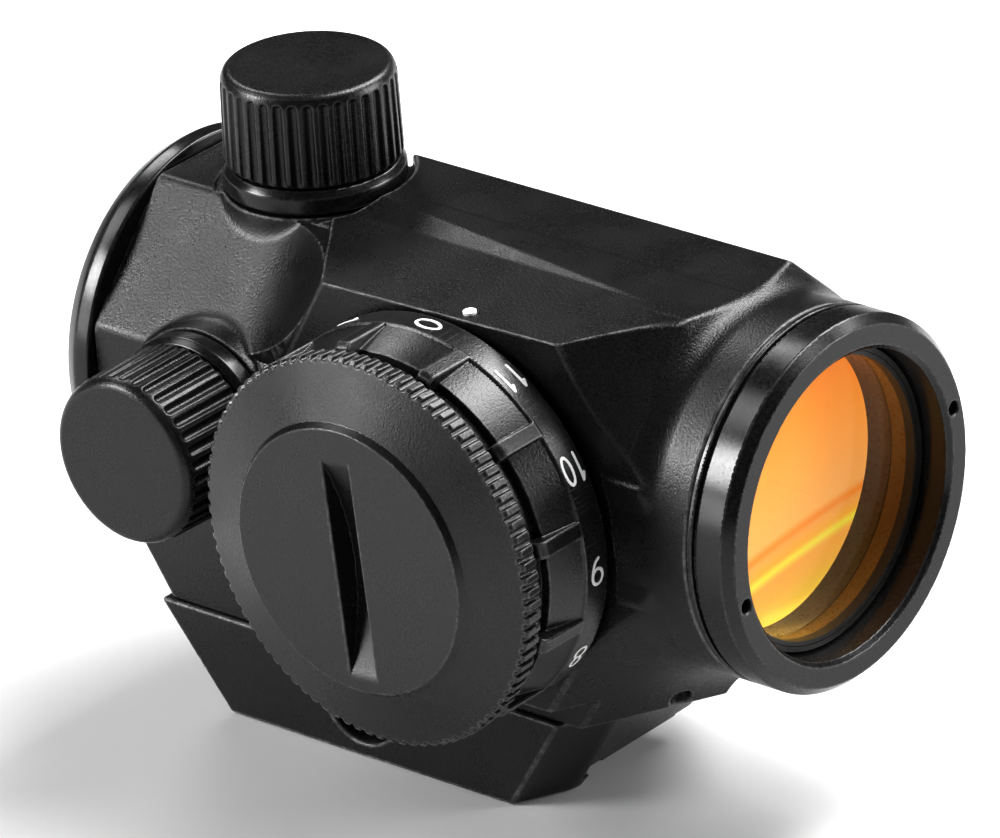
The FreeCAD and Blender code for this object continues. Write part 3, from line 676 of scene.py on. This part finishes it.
def add_turret_seats(body, x, y, z):
    """The body with its two turret seats and holes, the top one let into the ridge."""
    for up, across in ((z, x), (x, z)):
        reach = cylinder(across, y - TURRET_Y, 0)
        spot = np.maximum(reach - TURRET_SPOT_R, np.maximum(up - CORE_HALF, TURRET_SPOT_FOOT - up))
        body = soft_min(body, spot, 0.5)
        body = np.maximum(body, -np.maximum(reach - TURRET_HOLE_R, TURRET_HOLE_FOOT - up))
    clear = np.maximum(cylinder(x, y - TURRET_Y, TURRET_SPOT_R + 0.35), CORE_HALF - z)
    return soft_max(body, -clear, HOUSING_EDGE)


def grub_hole(x, y, z):
    """Slanting hole of the grub screw, low on the front."""
    inward = np.array(GRUB_INWARD) / np.linalg.norm(GRUB_INWARD)
    dx, dy, dz = x - GRUB_MOUTH[0], y - GRUB_MOUTH[1], z - GRUB_MOUTH[2]
    along = dx * inward[0] + dy * inward[1] + dz * inward[2]
    out = np.sqrt(np.maximum(dx * dx + dy * dy + dz * dz - along * along, 0))
    return np.maximum(out - GRUB_R, np.maximum(along - 5.3, -1.2 - along))


def housing_field(x, y, z):
    edge = HOUSING_EDGE
    body = soft_min(core_field(x, y, z, edge), ridge_field(x, y, z, edge), 0.15)
    body = soft_min(body, foot_field(x, y, z, edge), 0.5)
    body = soft_min(body, boss_field(x, y, z, edge), 0.12)
    body = np.minimum(body, rear_valley(x, y, z))
    # taper towards the barrel, with a hollow where the two meet
    barrel = cylinder(x, z, BARREL_R)
    body = soft_max(body, soft_min(barrel, front_slopes(x, y, z, edge), 4.5), edge)
    shouldered = soft_max(body, shoulder_field(x, y, z), edge * 0.15)
    body = np.where((x > 0) & (y > SHOULDER_REAR_Y), shouldered, body)
    body = soft_max(body, flare_field(x, y, z), edge)
    tube = soft_max(np.maximum(barrel, BARREL_START_Y - y), y - BEZEL_REAR_Y + 0.05, edge)
    body = np.minimum(np.maximum(body, y - FLARE_END_Y - 1), tube)
    body = add_turret_seats(body, x, y, z)
    dial_out = cylinder(y - DIAL_Y, z - DIAL_Z, 0)
    body = np.maximum(body, -np.maximum(dial_out - DIAL_SEAT_R, BOSS_FACE_X - x))
    body = np.maximum(body, -np.maximum(dial_out - DIAL_SHAFT_R, DIAL_SHAFT_FOOT_X - x))
    body = soft_max(body, -cylinder(x, z, BORE_R), edge * 0.7)
    return soft_max(body, -grub_hole(x, y, z), edge * 0.6)


housing = field_mesh("housing", housing_field, (-BARREL_R, CORE_REAR_Y, BASE_TOP_Z), (BARREL_R, 26.9, 14.6),
                     step=0.16, keep=0.3)
add_piece("housing", housing, MATERIALS["black_anodised"], "main_housing")


# ---- rail base and jaw ----
SEAT_Z = -24.4
BASE_BOTTOM_Z = -26.2
BASE_HALF = 10.5
RAIL_HALF = 5.65
SEAT_HALF = 4.2
BASE_EDGE = 0.22
ROOF_THICKNESS = 1.3        # plate that reaches over the jaw
HOOK_LIP = 0.55             # how far each hook reaches under the rail
HOOK_FACE = (0.82, 0, 0.57)
HOOK_EDGE_Z = SEAT_Z - 1.4
RELIEF_DEPTH = 0.3          # grooves beside the seat
JAW_SPLIT_X = -6.3
JAW_GAP = 0.15
JAW_OUTER_X = -10.3
JAW_FRONT_Y = 3.6
JAW_TOP_Z = BASE_TOP_Z - 1.5
CLAMP_AT = (-7.5, -21.7)    # y and z of the clamp screw
CLAMP_HOLE_R = 1.55
NUT_SINK_R = 3.4
NUT_SINK_X = 7.0
PIN_Y = (-14.5, -0.5)
PIN_FIT_R = 1.01            # guide pins are held tight in the base and slide in the jaw
PIN_SLIDE_R = 1.05
PIN_HOLE_DEPTH = 3.7
PIN_END_X = -8.6
BASE_SCREW_Y = (-17.0, 2.0)
SCREW_HOLE_R = 1.6
SCREW_HEAD_R = 2.9
SCREW_HEAD_DEPTH = 2.3


def base_ends(x, y, z, edge):
    """Sloping ends that the base and the jaw share."""
    ends = plane(x, y, z, (0, 0.85, -0.53), (0, 8.8, BASE_BOTTOM_Z))
    ends = soft_max(ends, plane(x, y, z, (0, -0.78, -0.62), (0, -20.4, BASE_BOTTOM_Z)), edge)
    corner = plane(np.abs(x), y, z, LOWER_SLOPE, (BASE_HALF, 6.5, BASE_BOTTOM_Z))
    return soft_max(ends, corner, edge)


def base_field(x, y, z):
    """Rail base with the fixed hook, its slot open towards the jaw."""
    edge = BASE_EDGE
    block = soft_max(JAW_SPLIT_X - x, x - BASE_HALF, edge)
    block = soft_max(block, np.maximum(z - BASE_TOP_Z, BASE_BOTTOM_Z - z), edge)
    roof = np.maximum(z - BASE_TOP_Z, BASE_TOP_Z - ROOF_THICKNESS - z)
    roof = soft_max(np.maximum(JAW_OUTER_X + 0.05 - x, x), roof, edge)
    base = soft_max(np.minimum(block, roof), base_ends(x, y, z, edge), edge)
    hook = plane(x, y, z, HOOK_FACE, (RAIL_HALF - HOOK_LIP, 0, HOOK_EDGE_Z))
    slot = np.maximum(z - SEAT_Z, x - RAIL_HALF)
    slot = np.maximum(slot, np.minimum(hook, np.maximum(x - RAIL_HALF + HOOK_LIP, SEAT_Z - 0.6 - z)))
    slot = np.maximum(slot, JAW_SPLIT_X - 6 - x)
    base = soft_max(base, -slot, edge * 0.6)
    for low, high in ((SEAT_HALF, RAIL_HALF), (JAW_SPLIT_X - 1, -SEAT_HALF)):
        groove = np.maximum(z - SEAT_Z - RELIEF_DEPTH, SEAT_Z - 1 - z)
        groove = np.maximum(np.maximum(low - x, x - high), groove)
        base = np.maximum(base, -groove)
    shaft = cylinder(y - CLAMP_AT[0], z - CLAMP_AT[1], 0)
    base = np.maximum(base, CLAMP_HOLE_R - shaft)
    base = soft_max(base, -np.maximum(shaft - NUT_SINK_R, NUT_SINK_X - x), edge)
    for pin_y in PIN_Y:
        pin = np.maximum(cylinder(y - pin_y, z - CLAMP_AT[1], PIN_FIT_R), x - JAW_SPLIT_X - PIN_HOLE_DEPTH)
        base = np.maximum(base, -pin)
    for screw_y in BASE_SCREW_Y:
        out = cylinder(x, y - screw_y, 0)
        base = np.maximum(base, SCREW_HOLE_R - out)
        base = soft_max(base, -np.maximum(out - SCREW_HEAD_R, z - SEAT_Z - SCREW_HEAD_DEPTH), edge)
    return base


def jaw_field(x, y, z):
    edge = BASE_EDGE
    jaw = soft_max(JAW_OUTER_X - x, x - JAW_SPLIT_X + JAW_GAP, edge)
    jaw = soft_max(jaw, np.maximum(z - JAW_TOP_Z, BASE_BOTTOM_Z - z), edge)
    hook = soft_max(np.maximum(JAW_SPLIT_X - 1 - x, x + RAIL_HALF - HOOK_LIP),
                    np.maximum(z - SEAT_Z + 1.0, BASE_BOTTOM_Z - z), edge)
    hook = soft_max(hook, plane(x, y, z, HOOK_FACE, (-RAIL_HALF + HOOK_LIP, 0, HOOK_EDGE_Z)), edge)
    jaw = np.minimum(jaw, hook)
    jaw = soft_max(jaw, y - JAW_FRONT_Y, edge)
    jaw = soft_max(jaw, base_ends(x, y, z, edge), edge)
    jaw = soft_max(jaw, -cylinder(y - CLAMP_AT[0], z - CLAMP_AT[1], CLAMP_HOLE_R), edge * 0.5)
    for pin_y in PIN_Y:
        pin = np.maximum(cylinder(y - pin_y, z - CLAMP_AT[1], PIN_SLIDE_R), PIN_END_X - x)
        jaw = np.maximum(jaw, -pin)
    return jaw


foot = field_mesh("foot", base_field, (JAW_OUTER_X, -26.8, BASE_BOTTOM_Z), (BASE_HALF, 14, BASE_TOP_Z),
                  step=0.14, keep=0.3)
add_piece("foot", foot, MATERIALS["black_anodised"], "rail_base")
rail_jaw = field_mesh("jaw", jaw_field, (JAW_OUTER_X, -26, BASE_BOTTOM_Z), (-5.1, JAW_FRONT_Y, JAW_TOP_Z),
                      step=0.14, keep=0.3)
add_piece("jaw", rail_jaw, MATERIALS["black_anodised"], "clamp_jaw")


# ---- turned rings at the two ends ----
GROOVE_Y = BEZEL_REAR_Y + 0.45
GROOVE_WIDTH = 0.35
GROOVE_DEPTH = 0.4
BEZEL_SPIGOT_Y = 22.4       # rear end of the part that is screwed into the body
RING_FIT_R = BORE_R - 0.03
SPANNER_HOLES = ((12.08, -2.79), (-12.08, 2.79))
SPANNER_HOLE_R = 0.52
bezel_outline = [(FACE_Y, 11.75), (FACE_Y, 13.25), (FACE_Y - 0.75, BARREL_R),
                 (GROOVE_Y + GROOVE_WIDTH, BARREL_R), (GROOVE_Y + GROOVE_WIDTH, BARREL_R - GROOVE_DEPTH),
                 (GROOVE_Y, BARREL_R - GROOVE_DEPTH), (GROOVE_Y, BARREL_R), (BEZEL_REAR_Y, BARREL_R),
                 (BEZEL_REAR_Y, RING_FIT_R), (BEZEL_SPIGOT_Y, RING_FIT_R), (BEZEL_SPIGOT_Y, 11.4),
                 (FACE_Y - 0.35, 11.4)]


def bezel_field(x, y, z):
    """Front ring with its groove and two spanner holes."""
    rounding = 0.08
    ring = polygon(y, cylinder(x, z, 0), inset(bezel_outline, rounding)) - rounding
    for hole_x, hole_z in SPANNER_HOLES:
        hole = np.maximum(cylinder(x - hole_x, z - hole_z, SPANNER_HOLE_R), FACE_Y - 1.6 - y)
        ring = soft_max(ring, -hole, 0.2)
    return ring


bezel = field_mesh("front_bezel", bezel_field, (-BARREL_R, BEZEL_SPIGOT_Y, -BARREL_R),
                   (BARREL_R, FACE_Y, BARREL_R), step=0.14, keep=0.3)
add_piece("front_bezel", bezel, MATERIALS["black_gloss"], "objective_bezel")

rear_outline = [(CORE_REAR_Y + 2.8, RING_FIT_R), (CORE_REAR_Y - 0.1, RING_FIT_R), (CORE_REAR_Y - 0.1, 14.5),
                (CORE_REAR_Y - 1.5, 14.5), (CORE_REAR_Y - 2.8, 13.7), (CORE_REAR_Y - 2.8, 11.3),
                (CORE_REAR_Y - 1.4, 10.4), (CORE_REAR_Y - 0.2, 10.4), (CORE_REAR_Y - 0.2, 11.4),
                (CORE_REAR_Y + 2.8, 11.4)]
add_piece("rear_ring", lathe_mesh("rear_ring", rear_outline, "y", (0, 0, 0), rounding=0.25),
          MATERIALS["black_gloss"], "ocular_ring")


# ---- the cemented lens pair ----
LENS_R = 10.77
POLE_R = 0.004              # the turned outline stops just short of its axis
LENS_STEPS = 10


def lens_outline(front, back, front_sag, back_sag):
    """Closed outline from the rim positions of the two faces and how far their middles stand out."""
    shares = [step / LENS_STEPS for step in range(LENS_STEPS + 1)]
    front_face = [(front + front_sag * (1 - share ** 2), max(LENS_R * share, POLE_R)) for share in shares]
    back_face = [(back + back_sag * (1 - share ** 2), max(LENS_R * share, POLE_R)) for share in shares]
    return front_face + back_face[::-1]


def add_lens(name, outline, rim, back, node):
    """Glass lens whose rim and back face have their own finishes."""
    mesh = lathe_mesh(name, outline, "y", (0, 0, 0), rounding=0.02, segments=160)
    add_piece(name, mesh, MATERIALS["clear_glass"], node)
    mesh.materials.append(rim)
    mesh.materials.append(back)
    for face in mesh.polygons:
        if abs(face.normal.y) < 0.5:
            face.material_index = 1
        elif face.normal.y < 0:
            face.material_index = 2


add_lens("front_lens", lens_outline(27.7, 26.2, -0.45, -0.9), RIM_OCHRE, MATERIALS["clear_glass"],
         "objective_lens_front")
add_lens("rear_lens", lens_outline(26.15, 24.05, -0.9, -0.6), RIM_GREY, MATERIALS["amber_glass"],
         "objective_lens_rear")


# ---- turrets ----
CAP_R = 6.6
CAP_FOOT = 15.65            # distances along the turret from the optical axis
CAP_TOP = 22.9
CAP_ROOF = 21.4             # inside of the cap's end
FLUTE_TOP = 22.2
FLUTE_COUNT = 36
FLUTE_R = 0.38
CAP_DRAFT = 0.022           # the cap narrows a little towards its end
turret_base_outline = [(12.75, 2.05), (12.75, 5.67), (13.62, 5.67), (13.62, 6.55), (13.9, 6.75),
                       (15.0, 6.75), (15.5, 6.35), (15.5, 5.3), (18.9, 5.3), (19.2, 5.0), (19.2, 3.9),
                       (15.6, 3.9), (15.6, 2.05)]


def fluted_cap(up, across, along):
    """Cap standing along 'up', with round flutes down its side."""
    out = np.sqrt(across * across + along * along)
    side = out - CAP_R + CAP_DRAFT * np.maximum(up - CAP_FOOT - 0.3, 0)
    cap = np.maximum(np.maximum(CAP_FOOT - up, up - CAP_TOP), side)
    cap = soft_max(cap, plane(up, 0 * up, out, (0.75, 0, 1), (CAP_TOP - 0.6, 0, CAP_R - 0.15)), 0.3)
    cap = soft_max(cap, plane(up, 0 * up, out, (-1, 0, 1), (CAP_FOOT + 0.3, 0, CAP_R)), 0.2)
    cap = soft_max(cap, -np.maximum(out - 5.35, up - CAP_ROOF), 0.15)
    cap = np.maximum(cap, -np.maximum(out - 5.8, up - CAP_FOOT - 0.75))
    sector = 2 * math.pi / FLUTE_COUNT
    angle = np.arctan2(along, across)
    angle = angle - np.round(angle / sector) * sector
    gap = np.sqrt((out * np.sin(angle)) ** 2 + (out * np.cos(angle) - CAP_R - 0.02) ** 2) - FLUTE_R
    gap = soft_max(gap, up - FLUTE_TOP, 0.3)
    return soft_max(cap, -gap, 0.1)


def top_cap_field(x, y, z):
    return fluted_cap(z, x, y - TURRET_Y)


def side_cap_field(x, y, z):
    return fluted_cap(x, -z, y - TURRET_Y)


for which, axis in (("elevation", "z"), ("windage", "x")):
    ring = lathe_mesh(which + "_ring", turret_base_outline, axis, (0, TURRET_Y, 0), segments=144)
    add_piece(which + "_ring", ring, MATERIALS["black_gloss"], which + "_base")
before_turret = TURRET_Y - CAP_R
beyond_turret = TURRET_Y + CAP_R
top_cap = field_mesh("elevation_knob", top_cap_field, (-CAP_R, before_turret, CAP_FOOT),
                     (CAP_R, beyond_turret, CAP_TOP), step=0.09, keep=0.4)
add_piece("elevation_knob", top_cap, MATERIALS["black_knob"], "elevation_cap")
side_cap = field_mesh("windage_knob", side_cap_field, (CAP_FOOT, before_turret, -CAP_R),
                      (CAP_TOP, beyond_turret, CAP_R), step=0.09, keep=0.4)
add_piece("windage_knob", side_cap, MATERIALS["black_knob"], "windage_cap")


# ---- brightness dial ----
DIAL_R = 14.9
DIAL_BACK_X = 13.9
DIAL_FRONT_X = 20.8
NUMBER_COUNT = 12
NUMBER_STEP = 360 / NUMBER_COUNT
NUMBER_TURN = -3.5          # the dial stands a little past the click in the photograph
RIB_HALF_W = 0.62
dial_outline = [(DIAL_BACK_X, 12.65), (DIAL_BACK_X, DIAL_R - 0.25), (14.15, DIAL_R), (16.4, DIAL_R),
                (16.55, DIAL_R - 0.2), (19.5, DIAL_R - 0.85), (19.6, DIAL_R - 1.5),
                (DIAL_FRONT_X, DIAL_R - 1.5), (DIAL_FRONT_X, 12.45), (17.9, 12.45), (17.9, 10.4),
                (17.0, 10.4), (17.0, 1.3), (16.2, 1.3), (16.2, 9.8), (15.3, 9.8), (15.3, 12.65)]


def dial_field(x, y, z):
    """Dial with a raised rib between each two numbers."""
    rounding = 0.07
    out = cylinder(y - DIAL_Y, z - DIAL_Z, 0)
    dial = polygon(x, out, inset(dial_outline, rounding)) - rounding
    sector = 2 * math.pi / NUMBER_COUNT
    first = math.radians(90 + NUMBER_STEP / 2 + NUMBER_TURN)      # ribs stand between numbers
    angle = np.arctan2(z - DIAL_Z, y - DIAL_Y) - first
    angle = angle - np.round(angle / sector) * sector
    aside = out * np.sin(angle)
    height = out * np.cos(angle)
    edge = 0.16
    rib = soft_max(np.abs(aside) - RIB_HALF_W, height - DIAL_R - 0.02, edge)
    rib = np.maximum(rib, DIAL_R - 1.3 - height)
    rib = soft_max(rib, np.maximum(x - DIAL_FRONT_X + 0.1, 16.3 - x), edge)
    rib = soft_max(rib, plane(x, 0 * x, height, (0.8, 0, 1), (20.3, 0, DIAL_R + 0.02)), edge)
    return soft_min(dial, rib, 0.1)


def disc_box(back_x, front_x):
    """Low and high corner of a box round something on the dial's axis."""
    half = 15
    return (back_x, DIAL_Y - half, DIAL_Z - half), (front_x, DIAL_Y + half, DIAL_Z + half)


add_piece("dial", field_mesh("dial", dial_field, *disc_box(DIAL_BACK_X, DIAL_FRONT_X), step=0.12, keep=0.3),
          MATERIALS["black_dial"], "brightness_dial")


# ---- numbers on the dial ----
STROKE = 0.13           # half the width of a painted stroke
DIGIT_HALF_W = 0.56     # half width of a digit between stroke centres
DIGIT_HALF_H = 1.02
PAIR_NARROWING = 0.74   # digits of a two-digit number are narrower
PAIR_OFFSETS = [-0.66, 0.52]
PAINT_MIDDLE = 0.015    # height of the paint layer's middle above the dial
PAINT_HALF = 0.04
LABEL_LOW = np.array([-1.3, -1.4, -0.15])       # corners of a number's grid: u, v, height
LABEL_HIGH = np.array([1.3, 1.4, 0.2])
LABEL_STEP = np.array([0.05, 0.05, 0.025])
NUMBERS_X = 15.27
FIRST_NUMBER = 91       # degrees from the front, round the dial, of number 0


def arc(centre, radius_u, radius_v, start, end, steps=14):
    """Points along part of an ellipse, between two angles in degrees."""
    angles = np.radians(np.linspace(start, end, steps))
    return [(centre[0] + radius_u * math.cos(t), centre[1] + radius_v * math.sin(t)) for t in angles]


def digit_strokes(digit):
    """Stroke centre lines of a digit in a box from -1 to 1 each way, v up."""
    if digit == 0:
        return [arc((0, 0), 1, 1, 0, 360, 28)]
    if digit == 1:
        return [[(-0.45, 0.55), (0.15, 1), (0.15, -1)]]
    if digit == 2:
        return [arc((0, 0.45), 0.95, 0.55, 165, -35) + [(-1, -1), (1, -1)]]
    if digit == 3:
        return [arc((0, 0.5), 0.9, 0.5, 160, -90), arc((0, -0.5), 1, 0.5, 90, -160)]
    if digit == 4:
        return [[(0.45, -1), (0.45, 1), (-1, -0.4), (1, -0.4)]]
    if digit == 5:
        return [[(0.85, 1), (-0.7, 1), (-0.8, 0.1)] + arc((0, -0.35), 0.95, 0.65, 140, -150)]
    if digit == 6:
        return [arc((0, -0.4), 0.95, 0.6, 0, 360, 24), arc((0.55, -0.3), 1.5, 1.3, 100, 175)]
    if digit == 7:
        return [[(-1, 1), (1, 1), (-0.3, -1)]]
    if digit == 8:
        return [arc((0, 0.5), 0.82, 0.5, 0, 360, 22), arc((0, -0.5), 1, 0.5, 0, 360, 24)]
    upside_down = digit_strokes(6)
    return [[(-u, -v) for u, v in stroke] for stroke in upside_down]


def stroke_distance(u, v, strokes):
    """Distance in the plane to the nearest of several bent lines."""
    nearest = np.full(np.broadcast(u, v).shape, 1e6)
    for stroke in strokes:
        for (u0, v0), (u1, v1) in zip(stroke, stroke[1:]):
            du, dv = u1 - u0, v1 - v0
            share = np.clip(((u - u0) * du + (v - v0) * dv) / (du * du + dv * dv), 0, 1)
            nearest = np.minimum(nearest, (u - u0 - share * du) ** 2 + (v - v0 - share * dv) ** 2)
    return np.sqrt(nearest)


def label_mesh(number):
    """Painted number as a thin rounded relief: points (u, v, height) before wrapping, and quads."""
    digits = [int(letter) for letter in str(number)]
    width = DIGIT_HALF_W
    offsets = [0.0]
    if len(digits) == 2:
        width *= PAIR_NARROWING
        offsets = PAIR_OFFSETS
    strokes = []
    for digit, offset in zip(digits, offsets):
        for stroke in digit_strokes(digit):
            strokes.append([(offset + u * width, v * DIGIT_HALF_H) for u, v in stroke])
    counts = np.rint((LABEL_HIGH - LABEL_LOW) / LABEL_STEP).astype(int) + 1
    u, v, height = (low + step * np.arange(count)
                    for low, step, count in zip(LABEL_LOW, LABEL_STEP, counts))
    u = u.reshape(-1, 1, 1)
    v = v.reshape(1, -1, 1)
    height = height.reshape(1, 1, -1)
    flat = stroke_distance(u, v, strokes) - STROKE
    skin = np.abs(height - PAINT_MIDDLE) - PAINT_HALF
    relief = soft_max(flat + 0 * height, 0 * flat + skin, 0.03)
    reach = 0.2
    grid = openvdb.FloatGrid(reach)
    grid.copyFromArray(np.clip(relief, -reach, reach).astype(np.float32))
    points, quads = grid.convertToQuads(0)
    return points * LABEL_STEP + LABEL_LOW, quads[:, ::-1]


def numbers_mesh():
    points_all = []
    faces_all = []
    start = 0
    for number in range(NUMBER_COUNT):
        points, quads = label_mesh(number)
        middle = FIRST_NUMBER + NUMBER_TURN + NUMBER_STEP * number
        angle = math.radians(middle) - points[:, 1] / DIAL_R
        out = DIAL_R + points[:, 2]
        wrapped = np.stack([NUMBERS_X + points[:, 0], DIAL_Y + out * np.cos(angle),
                            DIAL_Z + out * np.sin(angle)], axis=1)
        points_all.append(wrapped)
        faces_all += (quads + start).tolist()
        start += len(points)
    mesh = bpy.data.meshes.new("dial_numbers")
    mesh.from_pydata(to_row(np.concatenate(points_all)).tolist(), [], faces_all)
    mesh.polygons.foreach_set("use_smooth", np.ones(len(mesh.polygons), bool))
    set_wear(mesh, np.zeros(len(mesh.vertices)))
    make_outward(mesh)
    return mesh


add_piece("dial_numbers", numbers_mesh(), MATERIALS["white_paint"], "dial_number_marks")


# ---- battery cap ----
COVER_R = 14.9
COVER_FACE_X = 24.8
COVER_RIM_X = 22.9
COVER_BACK_X = 21.1
COVER_SPIGOT_X = 18.1
TOOTH_COUNT = 90
TOOTH_DEPTH = 0.42
TOOTH_GAP_HALF_W = 0.25
SLOT_TILT = math.radians(4.5)
SLOT_HALF_W = 1.2
SLOT_HALF_L = 8.3
SLOT_DEPTH = 2.0
SLOT_DROP = 0.7             # the slot's middle below the cap's middle
cover_outline = [(COVER_SPIGOT_X, 10.6), (COVER_SPIGOT_X, 12.4), (20.9, 12.4), (COVER_BACK_X, 12.6),
                 (COVER_BACK_X, COVER_R - 0.45), (COVER_BACK_X + 0.25, COVER_R - 0.1),
                 (COVER_RIM_X - 0.2, COVER_R), (COVER_RIM_X, COVER_R - 0.25), (24.3, 10.45),
                 (COVER_FACE_X, 10.1), (COVER_FACE_X, -10.1), (21.4, -10.0), (21.4, 10.6)]


def cover_field(x, y, z):
    """Battery cap with its coin slot and toothed rim."""
    rounding = 0.08
    across = y - DIAL_Y
    up = z - DIAL_Z
    out = cylinder(across, up, 0)
    cap = polygon(x, out, inset(cover_outline, rounding)) - rounding
    # coin slot with a round floor, leaning a little
    along = up * math.cos(SLOT_TILT) - across * math.sin(SLOT_TILT)
    aside = across * math.cos(SLOT_TILT) + up * math.sin(SLOT_TILT)
    saw_r = (SLOT_HALF_L ** 2 + SLOT_DEPTH ** 2) / (2 * SLOT_DEPTH)
    saw = cylinder(x - COVER_FACE_X - saw_r + SLOT_DEPTH, along + SLOT_DROP, saw_r)
    slot = np.maximum(saw, np.abs(aside) - SLOT_HALF_W)
    cap = soft_max(cap, -slot, 0.16)
    sector = 2 * math.pi / TOOTH_COUNT
    angle = np.arctan2(up, across)
    angle = angle - np.round(angle / sector) * sector
    gap_floor = COVER_R - TOOTH_DEPTH - out * np.cos(angle)
    gap = soft_max(np.abs(out * np.sin(angle)) - TOOTH_GAP_HALF_W, gap_floor, 0.25)
    return soft_max(cap, -gap, 0.09)


add_piece("battery_cover", field_mesh("battery_cover", cover_field, *disc_box(COVER_SPIGOT_X, COVER_FACE_X),
                                      step=0.11, keep=0.32),
          MATERIALS["black_dial"], "battery_cap")


# ---- studio ----
FLOOR_HALF = 6.0            # metres
FLOOR_GAP = 0.0001


def pale_floor():
    low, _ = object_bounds()
    level = low.z - FLOOR_GAP
    corner_signs = ((-1, -1), (1, -1), (1, 1), (-1, 1))
    mesh = bpy.data.meshes.new("floor")
    mesh.from_pydata([(FLOOR_HALF * x, FLOOR_HALF * y, level) for x, y in corner_signs], [], [(0, 1, 2, 3)])
    floor = bpy.data.objects.new("floor", mesh)
    bpy.context.scene.collection.objects.link(floor)
    material, tree, shader = new_material("pale_floor")
    patch = noise(tree, size_mm=60.0)
    shade = mix_colour(tree, patch, (0.66, 0.66, 0.66), (0.68, 0.68, 0.68))
    tree.links.new(shade, shader.inputs["Base Color"])
    shader.inputs["Roughness"].default_value = 0.7
    shader.inputs["Specular IOR Level"].default_value = 0.2
    mesh.materials.append(material)
    floor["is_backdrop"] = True


LIGHT_AIM = Vector((0, 0, 0.022))
LIGHT_DISTANCE = 0.9
OPEN_SPREAD = 180           # degrees
GRID_SPREAD = 90            # with a honeycomb in front, so that little falls on the floor


def soft_box(name, direction, width, height, radiance, spread=OPEN_SPREAD):
    """Rectangular light facing the object; radiance is its surface brightness, seen from straight ahead."""
    data = bpy.data.lights.new(name, "AREA")
    data.shape = "RECTANGLE"
    data.size = width
    data.size_y = height
    data.energy = radiance * width * height * math.pi
    if spread < OPEN_SPREAD:
        half = math.radians(spread / 2)
        data.spread = 2 * half
        data.energy *= 1 - half / math.tan(half)
    light = bpy.data.objects.new(name, data)
    bpy.context.scene.collection.objects.link(light)
    away = Vector(direction).normalized()
    light.location = LIGHT_AIM + away * LIGHT_DISTANCE
    light.rotation_euler = (-away).to_track_quat("-Z", "Y").to_euler()


def studio():
    """Dim room with seven soft boxes, each placed where one set of faces mirrors it."""
    world = bpy.data.worlds.new("studio")
    world.use_nodes = True
    background = world.node_tree.nodes["Background"]
    background.inputs["Color"].default_value = (0.95, 0.97, 1.0, 1)
    background.inputs["Strength"].default_value = 0.06
    bpy.context.scene.world = world
    soft_box("left_low", (0.80, -0.60, 0.10), 0.4, 0.25, radiance=8, spread=GRID_SPREAD)
    soft_box("left_high", (0.66, -0.60, 0.45), 0.3, 0.3, radiance=34, spread=GRID_SPREAD)
    soft_box("rear_left", (0.30, -0.62, 0.72), 0.3, 0.3, radiance=7)
    soft_box("rear_right", (-0.33, -0.64, 0.69), 0.25, 0.25, radiance=12, spread=GRID_SPREAD)
    soft_box("ceiling", (-0.34, 0.26, 0.90), 0.4, 0.4, radiance=18)
    soft_box("right_high", (-0.70, 0.10, 0.70), 0.4, 0.4, radiance=16)
    soft_box("front_right", (-0.60, 0.74, 0.30), 0.4, 0.4, radiance=13)


CAMERA_AIM = Vector((0.02024, 0.02392, 0.03567))
CAMERA_DISTANCE = 0.7
CAMERA_AZIMUTH = math.radians(48.695)       # from the sight's front towards the dial's side
CAMERA_HEIGHT = math.radians(25.383)
CAMERA_ROLL = math.radians(3.782)           # the photograph leans a little


def camera():
    """Camera at the photograph's viewing angle, far off with a long lens."""
    data = bpy.data.cameras.new("camera")
    data.sensor_width = 36.0
    data.lens = 362.85
    data.clip_end = 20.0
    eye = bpy.data.objects.new("camera", data)
    bpy.context.scene.collection.objects.link(eye)
    level = math.cos(CAMERA_HEIGHT)
    away = Vector((level * math.sin(CAMERA_AZIMUTH), level * math.cos(CAMERA_AZIMUTH),
                   math.sin(CAMERA_HEIGHT)))
    upright = (-away).to_track_quat("-Z", "Y").to_matrix()
    eye.matrix_world = (upright @ Matrix.Rotation(-CAMERA_ROLL, 3, "Z")).to_4x4()
    eye.location = CAMERA_AIM + away * CAMERA_DISTANCE
    bpy.context.scene.camera = eye


pale_floor()
studio()
camera()
bpy.context.scene.view_settings.view_transform = "Standard"
bpy.context.scene.view_settings.gamma = 0.78
